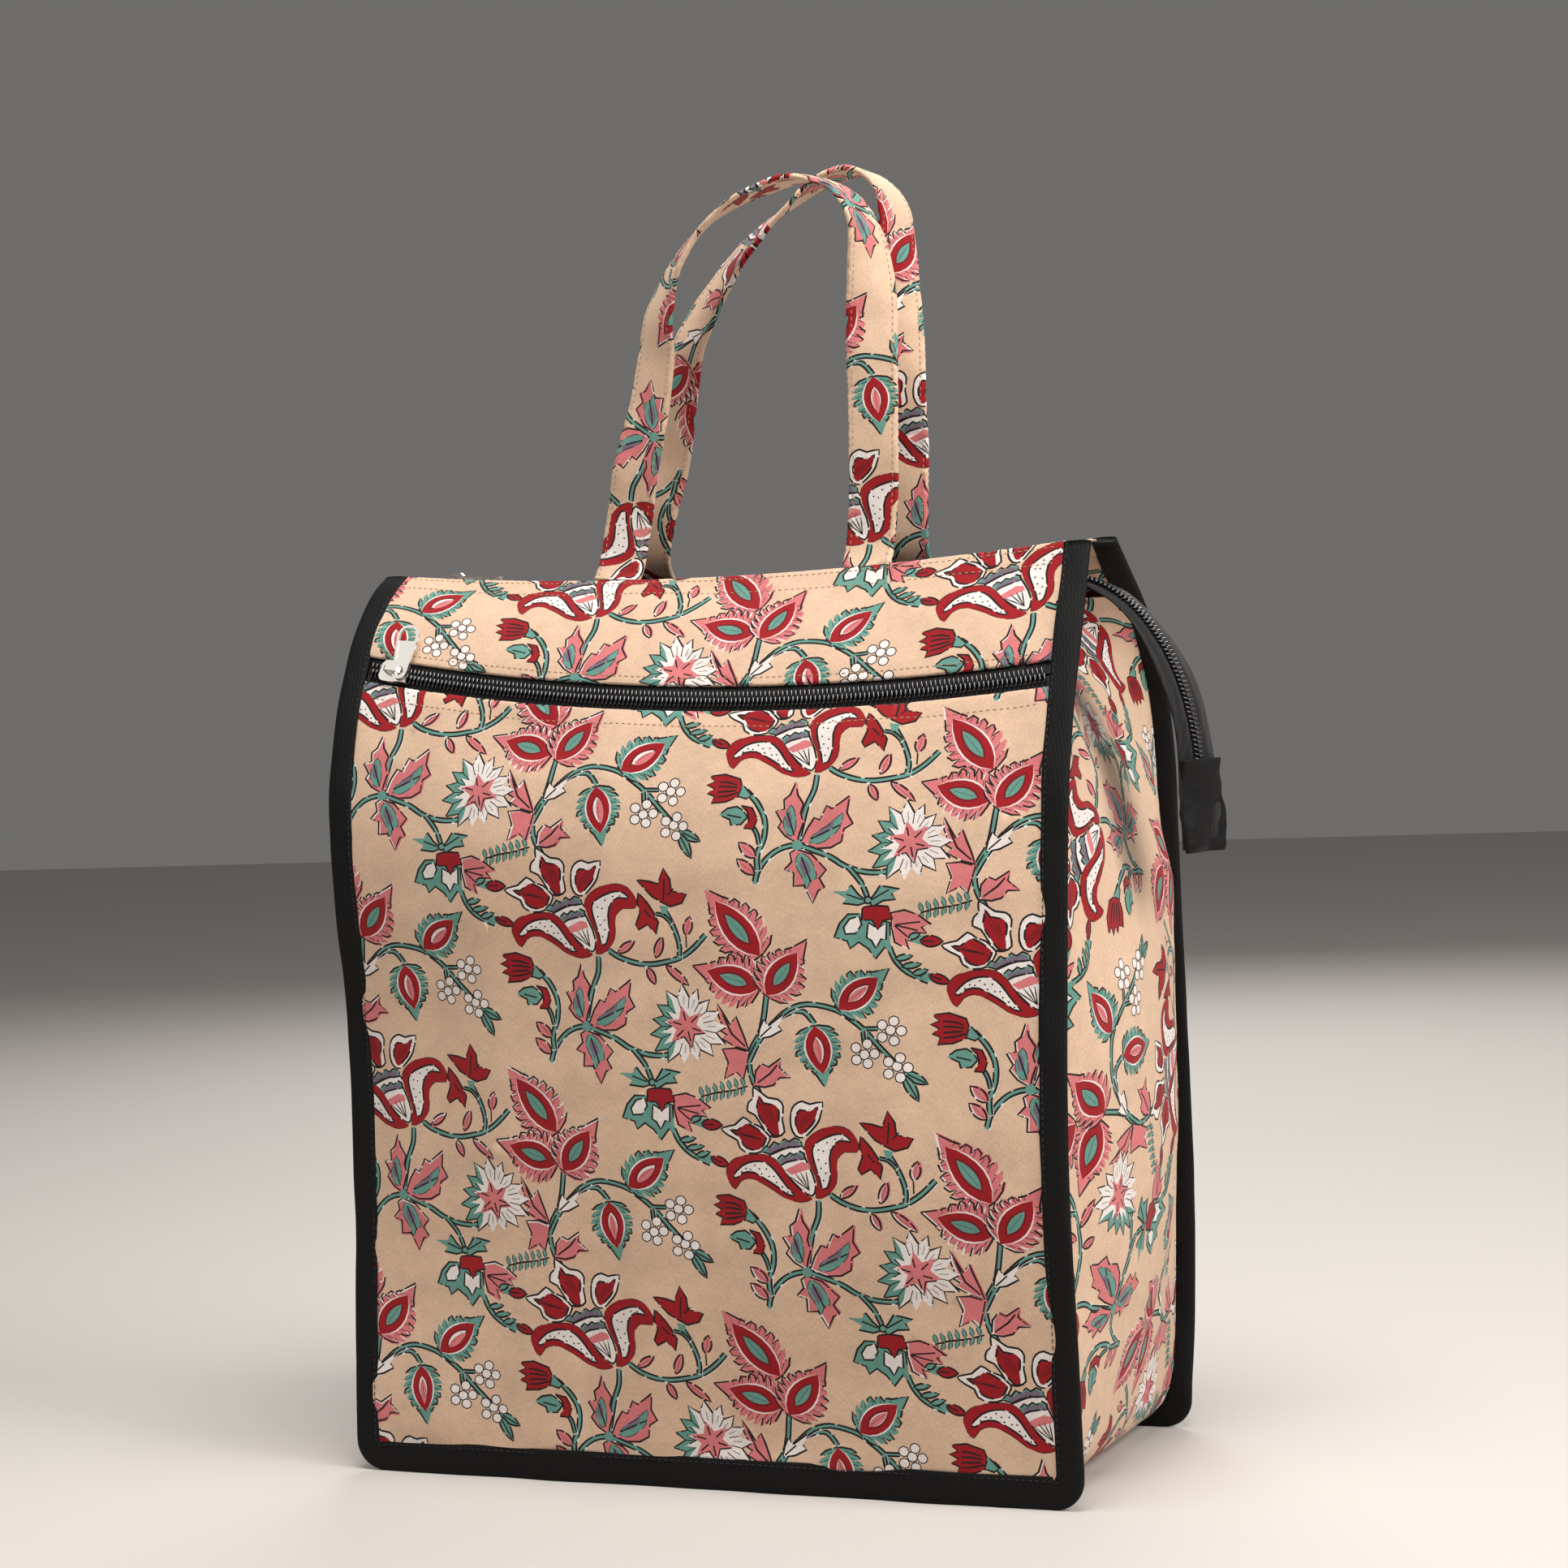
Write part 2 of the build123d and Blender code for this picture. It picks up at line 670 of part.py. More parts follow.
export_step(top_zip_end_tab.part, "parts/top_zip_end_tab.step")


def slider_outline(grow, reach):
    """Outline of a slider's plates, or of the channel through it."""
    half = []
    for along, out in slider_outline_shares:
        half.append((slider_length * along * reach, slider_width * out + grow))
    points = half + [(along, -out) for along, out in half[::-1]]
    return Polyline(*points, close=True)


def plate(plane, grow, reach):
    """Flat face in the shape of a slider."""
    with BuildSketch(plane, mode=Mode.PRIVATE) as sketch:
        with BuildLine():
            slider_outline(grow, reach)
        make_face()
    return sketch.sketch


slider_top = coil_height + slider_clear
slider_foot = -tape - slider_clear
crown_base = slider_top + slider_plate


def slider_solids(plane):
    """Faces and amounts that make up a slider on a zip's face."""
    beside = Plane(origin=plane.origin, x_dir=plane.x_dir, z_dir=-plane.y_dir)
    with BuildSketch(beside, mode=Mode.PRIVATE) as crown:
        with BuildLine():
            outer_half = crown_length / 2
            inner_half = outer_half - crown_post
            top = crown_base + crown_room + crown_bar
            shoulder = crown_room / 2
            Polyline(
                (-outer_half, crown_base), (-outer_half, top - shoulder), (-outer_half + shoulder, top),
                (outer_half - shoulder, top), (outer_half, top - shoulder), (outer_half, crown_base),
                (inner_half, crown_base), (inner_half, crown_base + crown_room),
                (-inner_half, crown_base + crown_room), (-inner_half, crown_base), close=True)
        make_face()
    with BuildSketch(plane.offset(slider_foot), mode=Mode.PRIVATE) as post:
        with Locations((-slider_length * (0.5 - slider_post_share), 0)):
            Rectangle(slider_length * slider_post_share, slider_post)
    return [
        (plate(plane.offset(slider_foot), 0, 1), -slider_plate, False),
        (plate(plane.offset(slider_top), 0, 1), slider_plate, False),
        (post.sketch, slider_top - slider_foot, False),
        (crown.sketch, crown_width / 2, True)]


front_rest_turn = turn_at(slider_rest, 0)
front_slider_plane = Plane(
    origin=zip_face.from_local_coords(on_arc(0, front_rest_turn)),
    x_dir=zip_face.x_dir * cos(front_rest_turn) + zip_face.y_dir * sin(front_rest_turn),
    z_dir=zip_out)
top_slider_along = (slider_rest - top_start.X) / top_way.X
top_slider_plane = Plane(origin=top_start + top_way * top_slider_along, x_dir=top_way, z_dir=top_up)
flange_height = slider_top - slider_flange_lift

# Front zip slider
with BuildPart() as front_zip_slider:
    for face, amount, both in slider_solids(front_slider_plane):
        extrude(face, amount=amount, both=both)
    flange_plane = front_slider_plane.offset(slider_flange_lift)
    channel = plate(flange_plane, -slider_flange, slider_channel_share)
    extrude(plate(flange_plane, 0, 1) - channel, amount=flange_height)
front_zip_slider.part.label = "front_zip_slider"
export_step(front_zip_slider.part, "parts/front_zip_slider.step")

# Top zip slider
with BuildPart() as top_zip_slider:
    for face, amount, both in slider_solids(top_slider_plane):
        extrude(face, amount=amount, both=both)
    flange_plane = top_slider_plane.offset(slider_flange_lift)
    channel = plate(flange_plane, -slider_flange, slider_channel_share)
    extrude(plate(flange_plane, 0, 1) - channel, amount=flange_height)
top_zip_slider.part.label = "top_zip_slider"
export_step(top_zip_slider.part, "parts/top_zip_slider.step")


def pull_blank(plane):
    """Outline of a pull, with its hole at the plane's origin."""
    with BuildSketch(plane, mode=Mode.PRIVATE) as blank:
        Circle(pull_eye_radius)
        with Locations((pull_reach, 0)):
            Circle(pull_end_radius)
        make_hull()
        Circle(pull_hole_radius, mode=Mode.SUBTRACT)
    return blank.sketch


def pull_panel(plane, start, stop):
    """Part of a pull's face inside its rim."""
    with BuildSketch(plane, mode=Mode.PRIVATE) as panel:
        Circle(pull_eye_radius - pull_rim)
        with Locations((pull_reach, 0)):
            Circle(pull_end_radius - pull_rim)
        make_hull()
        with Locations(((start + stop) / 2, 0)):
            Rectangle(stop - start, 2 * pull_end_radius, mode=Mode.INTERSECT)
    return panel.sketch


pull_base = crown_base + pull_lift
window_start = pull_reach * pull_window_start_share
pull_tip = pull_reach + pull_end_radius
crown_post_middle = crown_length / 2 - crown_post / 2

front_pull_plane = Plane(
    origin=front_slider_plane.from_local_coords(Vector(crown_post_middle, 0, pull_base)),
    x_dir=front_slider_plane.x_dir * cos(radians(front_pull_turn))
    + front_slider_plane.y_dir * sin(radians(front_pull_turn)),
    z_dir=zip_out)
top_pull_plane = Plane(
    origin=top_slider_plane.from_local_coords(Vector(crown_post_middle, 0, pull_base)),
    x_dir=top_way, z_dir=top_up)

# Front zip pull, lying up against the yoke
with BuildPart() as front_zip_pull:
    extrude(pull_blank(front_pull_plane), amount=pull_thickness)
    face_plane = front_pull_plane.offset(pull_thickness)
    extrude(pull_panel(face_plane, pull_panel_start, pull_tip), amount=-pull_recess, mode=Mode.SUBTRACT)
    extrude(pull_panel(face_plane, window_start, pull_tip), amount=-pull_thickness, mode=Mode.SUBTRACT)
front_zip_pull.part.label = "front_zip_pull"
export_step(front_zip_pull.part, "parts/front_zip_pull.step")

# Top zip pull, lying along the zip
with BuildPart() as top_zip_pull:
    extrude(pull_blank(top_pull_plane), amount=pull_thickness)
    face_plane = top_pull_plane.offset(pull_thickness)
    extrude(pull_panel(face_plane, pull_panel_start, pull_tip), amount=-pull_recess, mode=Mode.SUBTRACT)
    extrude(pull_panel(face_plane, window_start, pull_tip), amount=-pull_thickness, mode=Mode.SUBTRACT)
top_zip_pull.part.label = "top_zip_pull"
export_step(top_zip_pull.part, "parts/top_zip_pull.step")
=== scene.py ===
import math
import random

import bpy
import numpy as np
from mathutils import Matrix, Vector
from mathutils.bvhtree import BVHTree
from mathutils.geometry import delaunay_2d_cdt


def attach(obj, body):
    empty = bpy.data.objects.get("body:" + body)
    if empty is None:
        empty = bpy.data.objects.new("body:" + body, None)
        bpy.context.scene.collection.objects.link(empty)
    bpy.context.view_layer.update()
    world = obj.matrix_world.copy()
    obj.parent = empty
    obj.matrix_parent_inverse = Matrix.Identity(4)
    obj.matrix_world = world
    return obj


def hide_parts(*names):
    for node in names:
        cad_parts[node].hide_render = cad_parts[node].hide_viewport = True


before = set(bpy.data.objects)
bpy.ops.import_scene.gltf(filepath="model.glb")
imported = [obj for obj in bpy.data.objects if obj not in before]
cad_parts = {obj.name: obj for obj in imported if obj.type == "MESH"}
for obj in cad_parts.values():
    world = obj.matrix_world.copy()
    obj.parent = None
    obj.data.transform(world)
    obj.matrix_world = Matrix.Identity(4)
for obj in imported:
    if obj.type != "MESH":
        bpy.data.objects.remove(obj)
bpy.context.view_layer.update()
mm = 0.001

# Sizes of the bag in millimetres, as in the part's source
body_width, body_height, body_depth = 360.0, 420.0, 164.0
half_width, half_depth = body_width / 2, body_depth / 2
cloth = 1.6
binding_width, binding_foot, binding_thickness = 12.5, 14.5, 3.2
binding_corner = 14.0
panel_half = half_width - binding_width
seam_half = half_width - 9.0
under_binding = 3.0

# Distances from a panel's sides and ends over which its ripples fade
calm_side, calm_end, calm_least = 18.0, 12.0, 0.15

# Front edge lines: shares of the height and of the half depth
edge_height_shares = [0.19, 0.36, 0.55, 0.715]
left_edge_shares = [0.94, 0.89, 0.915, 0.99]
right_edge_shares = [1.02, 1.04, 0.93, 0.80]
belly, belly_shares = 11.0, [0.55, 1.0, 1.0, 0.8]

# Front pocket zip
left_zip_shares, right_zip_shares = (0.73, 0.8976), (0.55, 0.857)
zip_lean, zip_sag, slot_half = 26.0, 14.0, 7.2
tape, coil_inner, coil_outer, coil_height, coil_pitch = 0.8, 0.6, 3.8, 2.6, 2.1

# Top hems
hem_sag, hem_bow, hem_depth_share = 8.0, 4.0, 0.22
hem_height_shares, hem_leans = (1.002, 0.995), (60.0, 25.0)
fold_radius, fold_overlap = 1.0, 9.0

# Back edge line
back_height_shares = [0.07, 0.17, 0.31, 0.5, 0.69, 0.81, 0.87, 0.943]
back_edge_shares = [1.05, 1.17, 1.23, 1.21, 1.2, 1.14, 1.0, 0.64]
back_belly, back_belly_shares = 8.0, [0.1, 0.5, 1.0, 1.0, 0.9, 0.5, 0.2, 0.0]
back_hem_depth_share, back_hem_lean = 0.244, 48.0

# Gusset
gusset_corner = 28.0
gusset_height_shares = [0.12, 0.19, 0.28, 0.36, 0.45, 0.55, 0.63, 0.71, 0.76, 0.81, 0.845, 0.88, 0.91, 0.94]
gusset_bulges = [4.5, 11.0, 17.0, 20.5, 22.0, 20.5, 17.0, 11.0, 4.5, -5.0, -14.0, -25.0, -36.0, -47.0]

# Carrying straps
strap_width, strap_thickness, strap_rise, strap_base_share, strap_seat = 24.0, 2.6, 175.0, 0.22, 0.8
front_strap = {
    "across": [-0.149, -0.125, -0.103, -0.086, -0.071, -0.043, -0.012, 0.050,
               0.124, 0.178, 0.208, 0.219, 0.218, 0.215, 0.212, 0.203],
    "rise": [0.0, 0.23, 0.40, 0.57, 0.70, 0.815, 0.885, 0.95,
             0.985, 0.945, 0.86, 0.75, 0.60, 0.40, 0.20, 0.0],
    "turns": [0, 0, -10, -25, -41, -57, -70, -84, -90, -88, -76, -55, -25, -8, -2, 0],
    "depth": -14.0, "side": -1}
back_strap = {
    "across": [-0.153, -0.118, -0.096, -0.068, -0.018, 0.045, 0.098, 0.138,
               0.160, 0.198, 0.219, 0.221, 0.220, 0.219, 0.218, 0.217],
    "rise": [0.0, 0.28, 0.48, 0.64, 0.78, 0.90, 0.975, 1.015,
             1.022, 0.985, 0.90, 0.76, 0.60, 0.40, 0.20, 0.0],
    "turns": [0, -6, -18, -30, -46, -65, -82, -90, -90, -88, -76, -55, -30, -12, -4, 0],
    "depth": 18.0, "side": 1}

# Top zip
mouth_middle = 1.0
top_zip_height_shares, top_zip_straight_share = (0.9893, 0.9619), 0.3889
tail_across_shares = [0.444, 0.481, 0.525, 0.561, 0.586, 0.603, 0.610]
tail_height_shares = [0.9595, 0.953, 0.93, 0.893, 0.850, 0.795, 0.736]
tail_end_share, tab_length = 0.66, 40.0

# Colours of the print, as seen on the cloth
inks = {
    "ground": (222, 189, 161), "red": (156, 16, 26), "pink": (216, 122, 124), "teal": (102, 154, 142),
    "white": (238, 229, 224), "line": (32, 22, 22), "grey": (118, 106, 122), "deep": (116, 12, 22)}


def linear(colour):
    """Colour from screen values to light values."""
    return tuple((c / 255 / 12.92) if c < 10.3 else ((c / 255 + 0.055) / 1.055)**2.4 for c in colour)


def blend(first, last, share):
    """A value between two others."""
    return first + (last - first) * share


def bow(across):
    """Nought at both ends of the width and one midway."""
    return 4 * across * (1 - across)


def ease(value):
    """Nought to one with soft ends."""
    value = np.clip(value, 0, 1)
    return value * value * (3 - 2 * value)


def lean_way(lean):
    """Direction, in depth and height, of cloth that leans back."""
    return (math.sin(math.radians(lean)), math.cos(math.radians(lean)))


def even(points, count):
    """Points of a line, evenly spaced along it."""
    points = np.asarray(points, float)
    marks = np.concatenate([[0], np.cumsum(np.linalg.norm(np.diff(points, axis=0), axis=1))])
    places = np.linspace(0, marks[-1], count)
    return np.stack([np.interp(places, marks, column) for column in points.T], axis=1)


def spline(points, start=None, end=None, count=120):
    """Smooth curve through points, with given end directions, as evenly spaced points."""
    points = np.asarray(points, float)
    spans = np.linalg.norm(np.diff(points, axis=0), axis=1)
    size = len(points)
    lhs = np.zeros((size, size))
    rhs = np.zeros_like(points)
    for i in range(1, size - 1):
        before, after = 1 / spans[i - 1], 1 / spans[i]
        lhs[i, i - 1:i + 2] = before, 2 * (before + after), after
        rhs[i] = 3 * ((points[i] - points[i - 1]) * before**2 + (points[i + 1] - points[i]) * after**2)
    for row, near, way in ((0, 1, start), (size - 1, size - 2, end)):
        if way is None:
            lhs[row, row], lhs[row, near] = 2, 1
            rhs[row] = 3 * (points[max(row, near)] - points[min(row, near)]) / spans[min(row, near)]
        else:
            lhs[row, row] = 1
            rhs[row] = np.asarray(way) / np.linalg.norm(way)
    ways = np.linalg.solve(lhs, rhs)
    dense = []
    for i in range(size - 1):
        t = np.linspace(0, 1, 40, endpoint=i == size - 2)[:, None]
        dense.append(
            (2 * t**3 - 3 * t**2 + 1) * points[i] + (t**3 - 2 * t**2 + t) * ways[i] * spans[i]
            + (3 * t**2 - 2 * t**3) * points[i + 1] + (t**3 - t**2) * ways[i + 1] * spans[i])
    return even(np.concatenate(dense), count)


# Frame of the front zip
left_zip = np.array([-panel_half, -half_depth * left_zip_shares[0], body_height * left_zip_shares[1]])
right_zip = np.array([panel_half, -half_depth * right_zip_shares[0], body_height * right_zip_shares[1]])
zip_along = (right_zip - left_zip) / np.linalg.norm(right_zip - left_zip)
zip_out = np.cross(zip_along, (0, *lean_way(zip_lean)))
zip_out = zip_out / np.linalg.norm(zip_out)
zip_up = np.cross(zip_out, zip_along)
zip_middle = (left_zip + right_zip) / 2
zip_half = np.linalg.norm(right_zip - left_zip) / 2
zip_radius = (zip_half**2 + zip_sag**2) / (2 * zip_sag)


def on_zip(turn, lift, out):
    """Point near the front zip: turn along its arc, lift above its middle, height off its plane."""
    reach = zip_radius - lift
    flat = zip_along * (reach * math.sin(turn)) + zip_up * (zip_radius - zip_sag - reach * math.cos(turn))
    return zip_middle + flat + zip_out * out


def zip_edge(x, lift):
    """Depth and height of a cloth edge beside the front zip."""
    turn = math.asin(x / zip_radius)
    for _ in range(4):
        turn += (x - on_zip(turn, lift, 0)[0]) / zip_radius
    return on_zip(turn, lift, 0)[1:]


def panel_line(across, count=120):
    """Middle line of the front panel, from the foot binding to the zip."""
    points = [(-half_depth, binding_foot - under_binding)]
    edges = zip(edge_height_shares, left_edge_shares, right_edge_shares, belly_shares)
    for height, left, right, swell in edges:
        depth = half_depth * blend(left, right, across) + belly * swell * bow(across)
        points.append((-depth, body_height * height))
    points.append(zip_edge(blend(-panel_half, panel_half, across), -slot_half))
    return spline(points, (0, 1), lean_way(zip_lean), count)


def yoke_line(across, count=60):
    """Middle line of the yoke, from the zip to the top hem."""
    height = body_height * blend(*hem_height_shares, across) - hem_sag * bow(across)
    hem = (-half_depth * hem_depth_share - hem_bow * bow(across), height)
    start = zip_edge(blend(-panel_half, panel_half, across), slot_half)
    return spline([start, hem], lean_way(zip_lean), lean_way(blend(*hem_leans, across)), count)


def back_line(across, count=140):
    """Middle line of the back panel, from the foot binding to the top hem."""
    points = [(half_depth, binding_foot - under_binding)]
    for height, edge, swell in zip(back_height_shares, back_edge_shares, back_belly_shares):
        points.append((half_depth * edge + back_belly * swell * bow(across), body_height * height))
    hem_depth = half_depth * back_hem_depth_share + hem_bow * bow(across)
    points.append((hem_depth, body_height - hem_sag * bow(across)))
    lean = lean_way(back_hem_lean)
    return spline(points, (0, 1), (-lean[0], lean[1]), count)


def ripples(seed, count, longest, shortest, height):
    """Gentle unevenness of cloth as a sum of slanting waves over its flat places."""
    rng = random.Random(seed)
    waves = []
    for k in range(count):
        length = longest * (shortest / longest)**(k / max(1, count - 1))
        angle = rng.uniform(0, math.pi)
        waves.append((2 * math.pi / length * math.cos(angle), 2 * math.pi / length * math.sin(angle),
                      rng.uniform(0, 2 * math.pi), height * length / longest))
    return lambda x, s: sum(a * np.sin(fx * x + fs * s + phase) for fx, fs, phase, a in waves)


class Panel:
    """Cloth between the bindings: places on the flat cloth, across and up, to places in space."""

    def __init__(self, line, front, seed, folds, ripple_height=0.7, columns=97):
        self.front = front
        self.folds = folds
        self.xs = np.linspace(-panel_half, panel_half, columns)
        rows = [line((x + panel_half) / (2 * panel_half)) for x in self.xs]
        self.lengths = np.array([np.linalg.norm(np.diff(row, axis=0), axis=1).sum() for row in rows])
        self.rows = np.array(rows)
        self.ripple = ripples(seed, count=9, longest=120, shortest=22, height=ripple_height)

    def length(self, x):
        """Length of the cloth up to its top edge."""
        return np.interp(x, self.xs, self.lengths)

    def base(self, x, s):
        """Depth, height and outward way of the cloth's middle."""
        column = np.clip((x + panel_half) / (2 * panel_half), 0, 1) * (len(self.xs) - 1)
        i = np.minimum(column.astype(int), len(self.xs) - 2)
        mix = (column - i)[:, None]
        steps = self.rows.shape[1] - 1
        row = np.clip(s / self.length(x), 0, 1) * steps
        j = np.minimum(row.astype(int), steps - 1)
        rise = (row - j)[:, None]
        low = self.rows[i, j] * (1 - mix) + self.rows[i + 1, j] * mix
        high = self.rows[i, j + 1] * (1 - mix) + self.rows[i + 1, j + 1] * mix
        way = high - low
        way = way / np.linalg.norm(way, axis=1)[:, None]
        out = np.stack([-way[:, 1], way[:, 0]], axis=1) * (1 if self.front else -1)
        return low * (1 - rise) + high * rise, way, out

    def place(self, x, s):
        """Places in space of the cloth's outer face, turned over at the edges that have a fold."""
        x, s = np.asarray(x, float), np.asarray(s, float)
        length = self.length(x)
        turn = math.pi * fold_radius
        over_top = np.where(self.folds[1], np.maximum(s - length, 0), 0)
        over_foot = np.where(self.folds[0], np.maximum(-s, 0), 0)
        over = over_top + over_foot
        sign = np.where(over_top > 0, 1, -1)
        back = np.maximum(over - turn, 0)
        angle = np.minimum(over, turn) / fold_radius
        on_cloth = np.clip(s, 0, length) - sign * back
        spot, way, out = self.base(x, on_cloth)
        forth = (sign * fold_radius * np.sin(angle))[:, None] * way
        inward = (-fold_radius * (1 - np.cos(angle)))[:, None] * out
        from_end = np.minimum(on_cloth, length - on_cloth)
        edge = ease((panel_half - np.abs(x)) / calm_side) * ease(from_end / calm_end + calm_least)
        lift = (cloth / 2 + edge * self.ripple(x, on_cloth))[:, None] * out
        spot = spot + forth + inward + lift
        return np.stack([x, spot[:, 0], spot[:, 1]], axis=1)


# Drawing the print: strokes and shapes on a sketch whose unit is about a ninth of a millimetre
sketch_origin = np.array([440, 545])
sketch_scale = np.array([0.114, -0.1064])
repeat_across, repeat_drop, repeat_up = 105.0, 80.0, 188.0
line_width = 9.0
print_block, rim_step = 58.0, 1.1
off_cloth, thinnest, joining = 0.01, 0.001, 1e-4
rng_print = random.Random(11)
motif = []


def rounded(points, closed=True, steps=2):
    """Smooth line through sketch points."""
    points = np.asarray(points, float)
    size = len(points)
    made = []
    for i in range(size if closed else size - 1):
        if closed:
            a, b, c, d = (points[(i + k) % size] for k in (-1, 0, 1, 2))
        else:
            a, b, c, d = (points[min(max(i + k, 0), size - 1)] for k in (-1, 0, 1, 2))
        for step in range(steps):
            t = step / steps
            square, cube = 2 * a - 5 * b + 4 * c - d, 3 * b - a - 3 * c + d
            made.append(0.5 * (2 * b + (c - a) * t + square * t**2 + cube * t**3))
    if not closed:
        made.append(points[-1])
    return np.array(made)


def fill(points, ink, loose=False):
    """A shape of one colour; a loose one was printed by the pink block, a little off its place."""
    motif.append((np.asarray(points, float), ink, loose))


def band(points, width, ink, ends=1.0):
    """A stroke of some width along a line."""
    points = np.asarray(points, float)
    ways = np.gradient(points, axis=0)
    ways = ways / np.maximum(np.linalg.norm(ways, axis=1), 1e-6)[:, None]
    sides = np.stack([-ways[:, 1], ways[:, 0]], axis=1)
    share = np.linspace(0, 1, len(points))[:, None]
    half = width / 2 * (ends + (1 - ends) * np.sin(np.pi * share))
    fill(np.concatenate([points + sides * half, (points - sides * half)[::-1]]), ink)


def outline(points, closed=True, dash=(70, 190), gap=(5, 16), width=line_width):
    """Thin dark line, broken here and there as a worn block prints it."""
    points = np.asarray(points, float)
    if closed:
        points = np.concatenate([points, points[:1]])
    marks = np.concatenate([[0], np.cumsum(np.linalg.norm(np.diff(points, axis=0), axis=1))])
    at = rng_print.uniform(0, 12)
    while at < marks[-1] - 6:
        stop = min(at + rng_print.uniform(*dash), marks[-1])
        inside = marks[(marks > at + 2) & (marks < stop - 2)]
        places = np.concatenate([[at], inside, [stop]])
        piece = np.stack([np.interp(places, marks, column) for column in points.T], axis=1)
        band(piece, width, "line", 0.75)
        at = stop + rng_print.uniform(*gap)


def shape(points, ink, smooth=True, loose=False):
    """A filled shape with its dark outline drawn on top."""
    line = rounded(points) if smooth else np.asarray(points, float)
    if loose:
        fill(line, "white")
    fill(line, ink, loose)
    outline(line)


def vine(points, width=19):
    """Stem with a pale edge and a dark line along each side."""
    line = rounded(points, False, 3)
    ways = np.gradient(line, axis=0)
    ways = ways / np.linalg.norm(ways, axis=1)[:, None]
    sides = np.stack([-ways[:, 1], ways[:, 0]], axis=1)
    band(line + (2.5, 2), width + 7, "white")
    band(line, width, "teal")
    for side in (-1, 1):
        outline(line + sides * (side * width / 2), False)


def almond_side(base, tip, width, shares):
    """Half widths of an almond at shares of its length, with its axis and cross way."""
    base, tip = np.asarray(base, float), np.asarray(tip, float)
    axis = tip - base
    cross = np.array([-axis[1], axis[0]]) / np.linalg.norm(axis)
    halves = width / 2 * np.sin(np.pi * shares**0.9)**0.8
    return base, axis, cross, halves


def almond(base, tip, width, steps=7):
    """Outline of an almond."""
    shares = np.linspace(0, 1, steps + 1)
    base, axis, cross, halves = almond_side(base, tip, width, shares)
    one = base + shares[:, None] * axis + halves[:, None] * cross
    two = base + shares[:, None] * axis - halves[:, None] * cross
    return np.concatenate([one, two[::-1][1:-1]])


def fringe(base, tip, width, teeth, reach):
    """Outline of an almond with pointed teeth that lean to its tip."""
    sides = []
    for side in (1, -1):
        line = []
        for k in range(teeth):
            for share, out in ((k / teeth, 0.32), ((k + 0.35) / teeth, 0.8), ((k + 0.95) / teeth, 1.0)):
                base0, axis, cross, half = almond_side(base, tip, width, np.array([share]))
                taper = 1 - 0.5 * share**3
                line.append(base0 + axis * share + cross * side * (half[0] + out * reach * taper))
        sides.append(line)
    axis = np.asarray(tip, float) - np.asarray(base, float)
    point = np.asarray(tip, float) + axis / np.linalg.norm(axis) * reach * 1.1
    return np.array(sides[0] + [point] + sides[1][::-1])


def leaf_bud(base, tip, width, teeth, reach, frill, core, core_ink):
    """Serrated leaf: frill, pale band, ring and core."""
    line = fringe(base, tip, width, teeth, reach)
    if frill == "pink":
        fill(line, "white")
    fill(line, frill, frill == "pink")
    outline(line, True, (50, 120), (3, 9))
    for k in range(teeth):
        for side in (1, -1):
            share = np.array([(k + 0.55) / teeth])
            base0, axis, cross, half = almond_side(base, tip, width, share)
            root = base0 + axis * share[0] + cross * side * (half[0] + 8)
            band(np.array([root, root + cross * side * reach * 0.42 + axis * 0.04]), 4.4, "line", 0.7)
    fill(almond(base, tip, width * 1.14), "white")
    fill(almond(base, tip, width), "red")
    base, tip = np.asarray(base, float), np.asarray(tip, float)
    axis = tip - base
    fill(almond(base + axis * 0.2, base + axis * 0.8, width * 0.56), "deep")
    inner = base + axis * (0.5 - core / 2), base + axis * (0.5 + core / 2)
    fill(almond(*inner, width * 0.40, 6), "white" if core_ink == "pink" else core_ink)
    fill(almond(*inner, width * 0.32, 6), core_ink, core_ink == "pink")
    band(np.array([inner[0] + axis * 0.06, inner[1] - axis * 0.08]), 3.6, "line", 0.5)


def small_leaf(base, tip, width, ink="pink"):
    """Small leaf with a vein, half filled by the pink block."""
    line = almond(base, tip, width, 6)
    fill(line, "white")
    fill(line, ink, ink == "pink")
    outline(line, True, (40, 110), (4, 12))
    base, tip = np.asarray(base, float), np.asarray(tip, float)
    band(np.array([base + (tip - base) * 0.15, base + (tip - base) * 0.75]), 3.4, "line", 0.5)


def ring_points(centre, radius, count):
    """Points round a circle."""
    turns = np.linspace(0, 2 * np.pi, count, endpoint=False)
    return np.asarray(centre, float) + radius * np.stack([np.cos(turns), np.sin(turns)], axis=1)


cluster_radius, berry_radius, berry_inside = 42, 24, 19


def berries(centre, start):
    """Cluster of small round berries."""
    spots = [np.asarray(centre, float)] + list(ring_points(centre, cluster_radius, 5) + (0, start))
    for spot in spots:
        fill(ring_points(spot, berry_radius, 8), "line")
        fill(ring_points(spot, berry_inside, 8), "white")


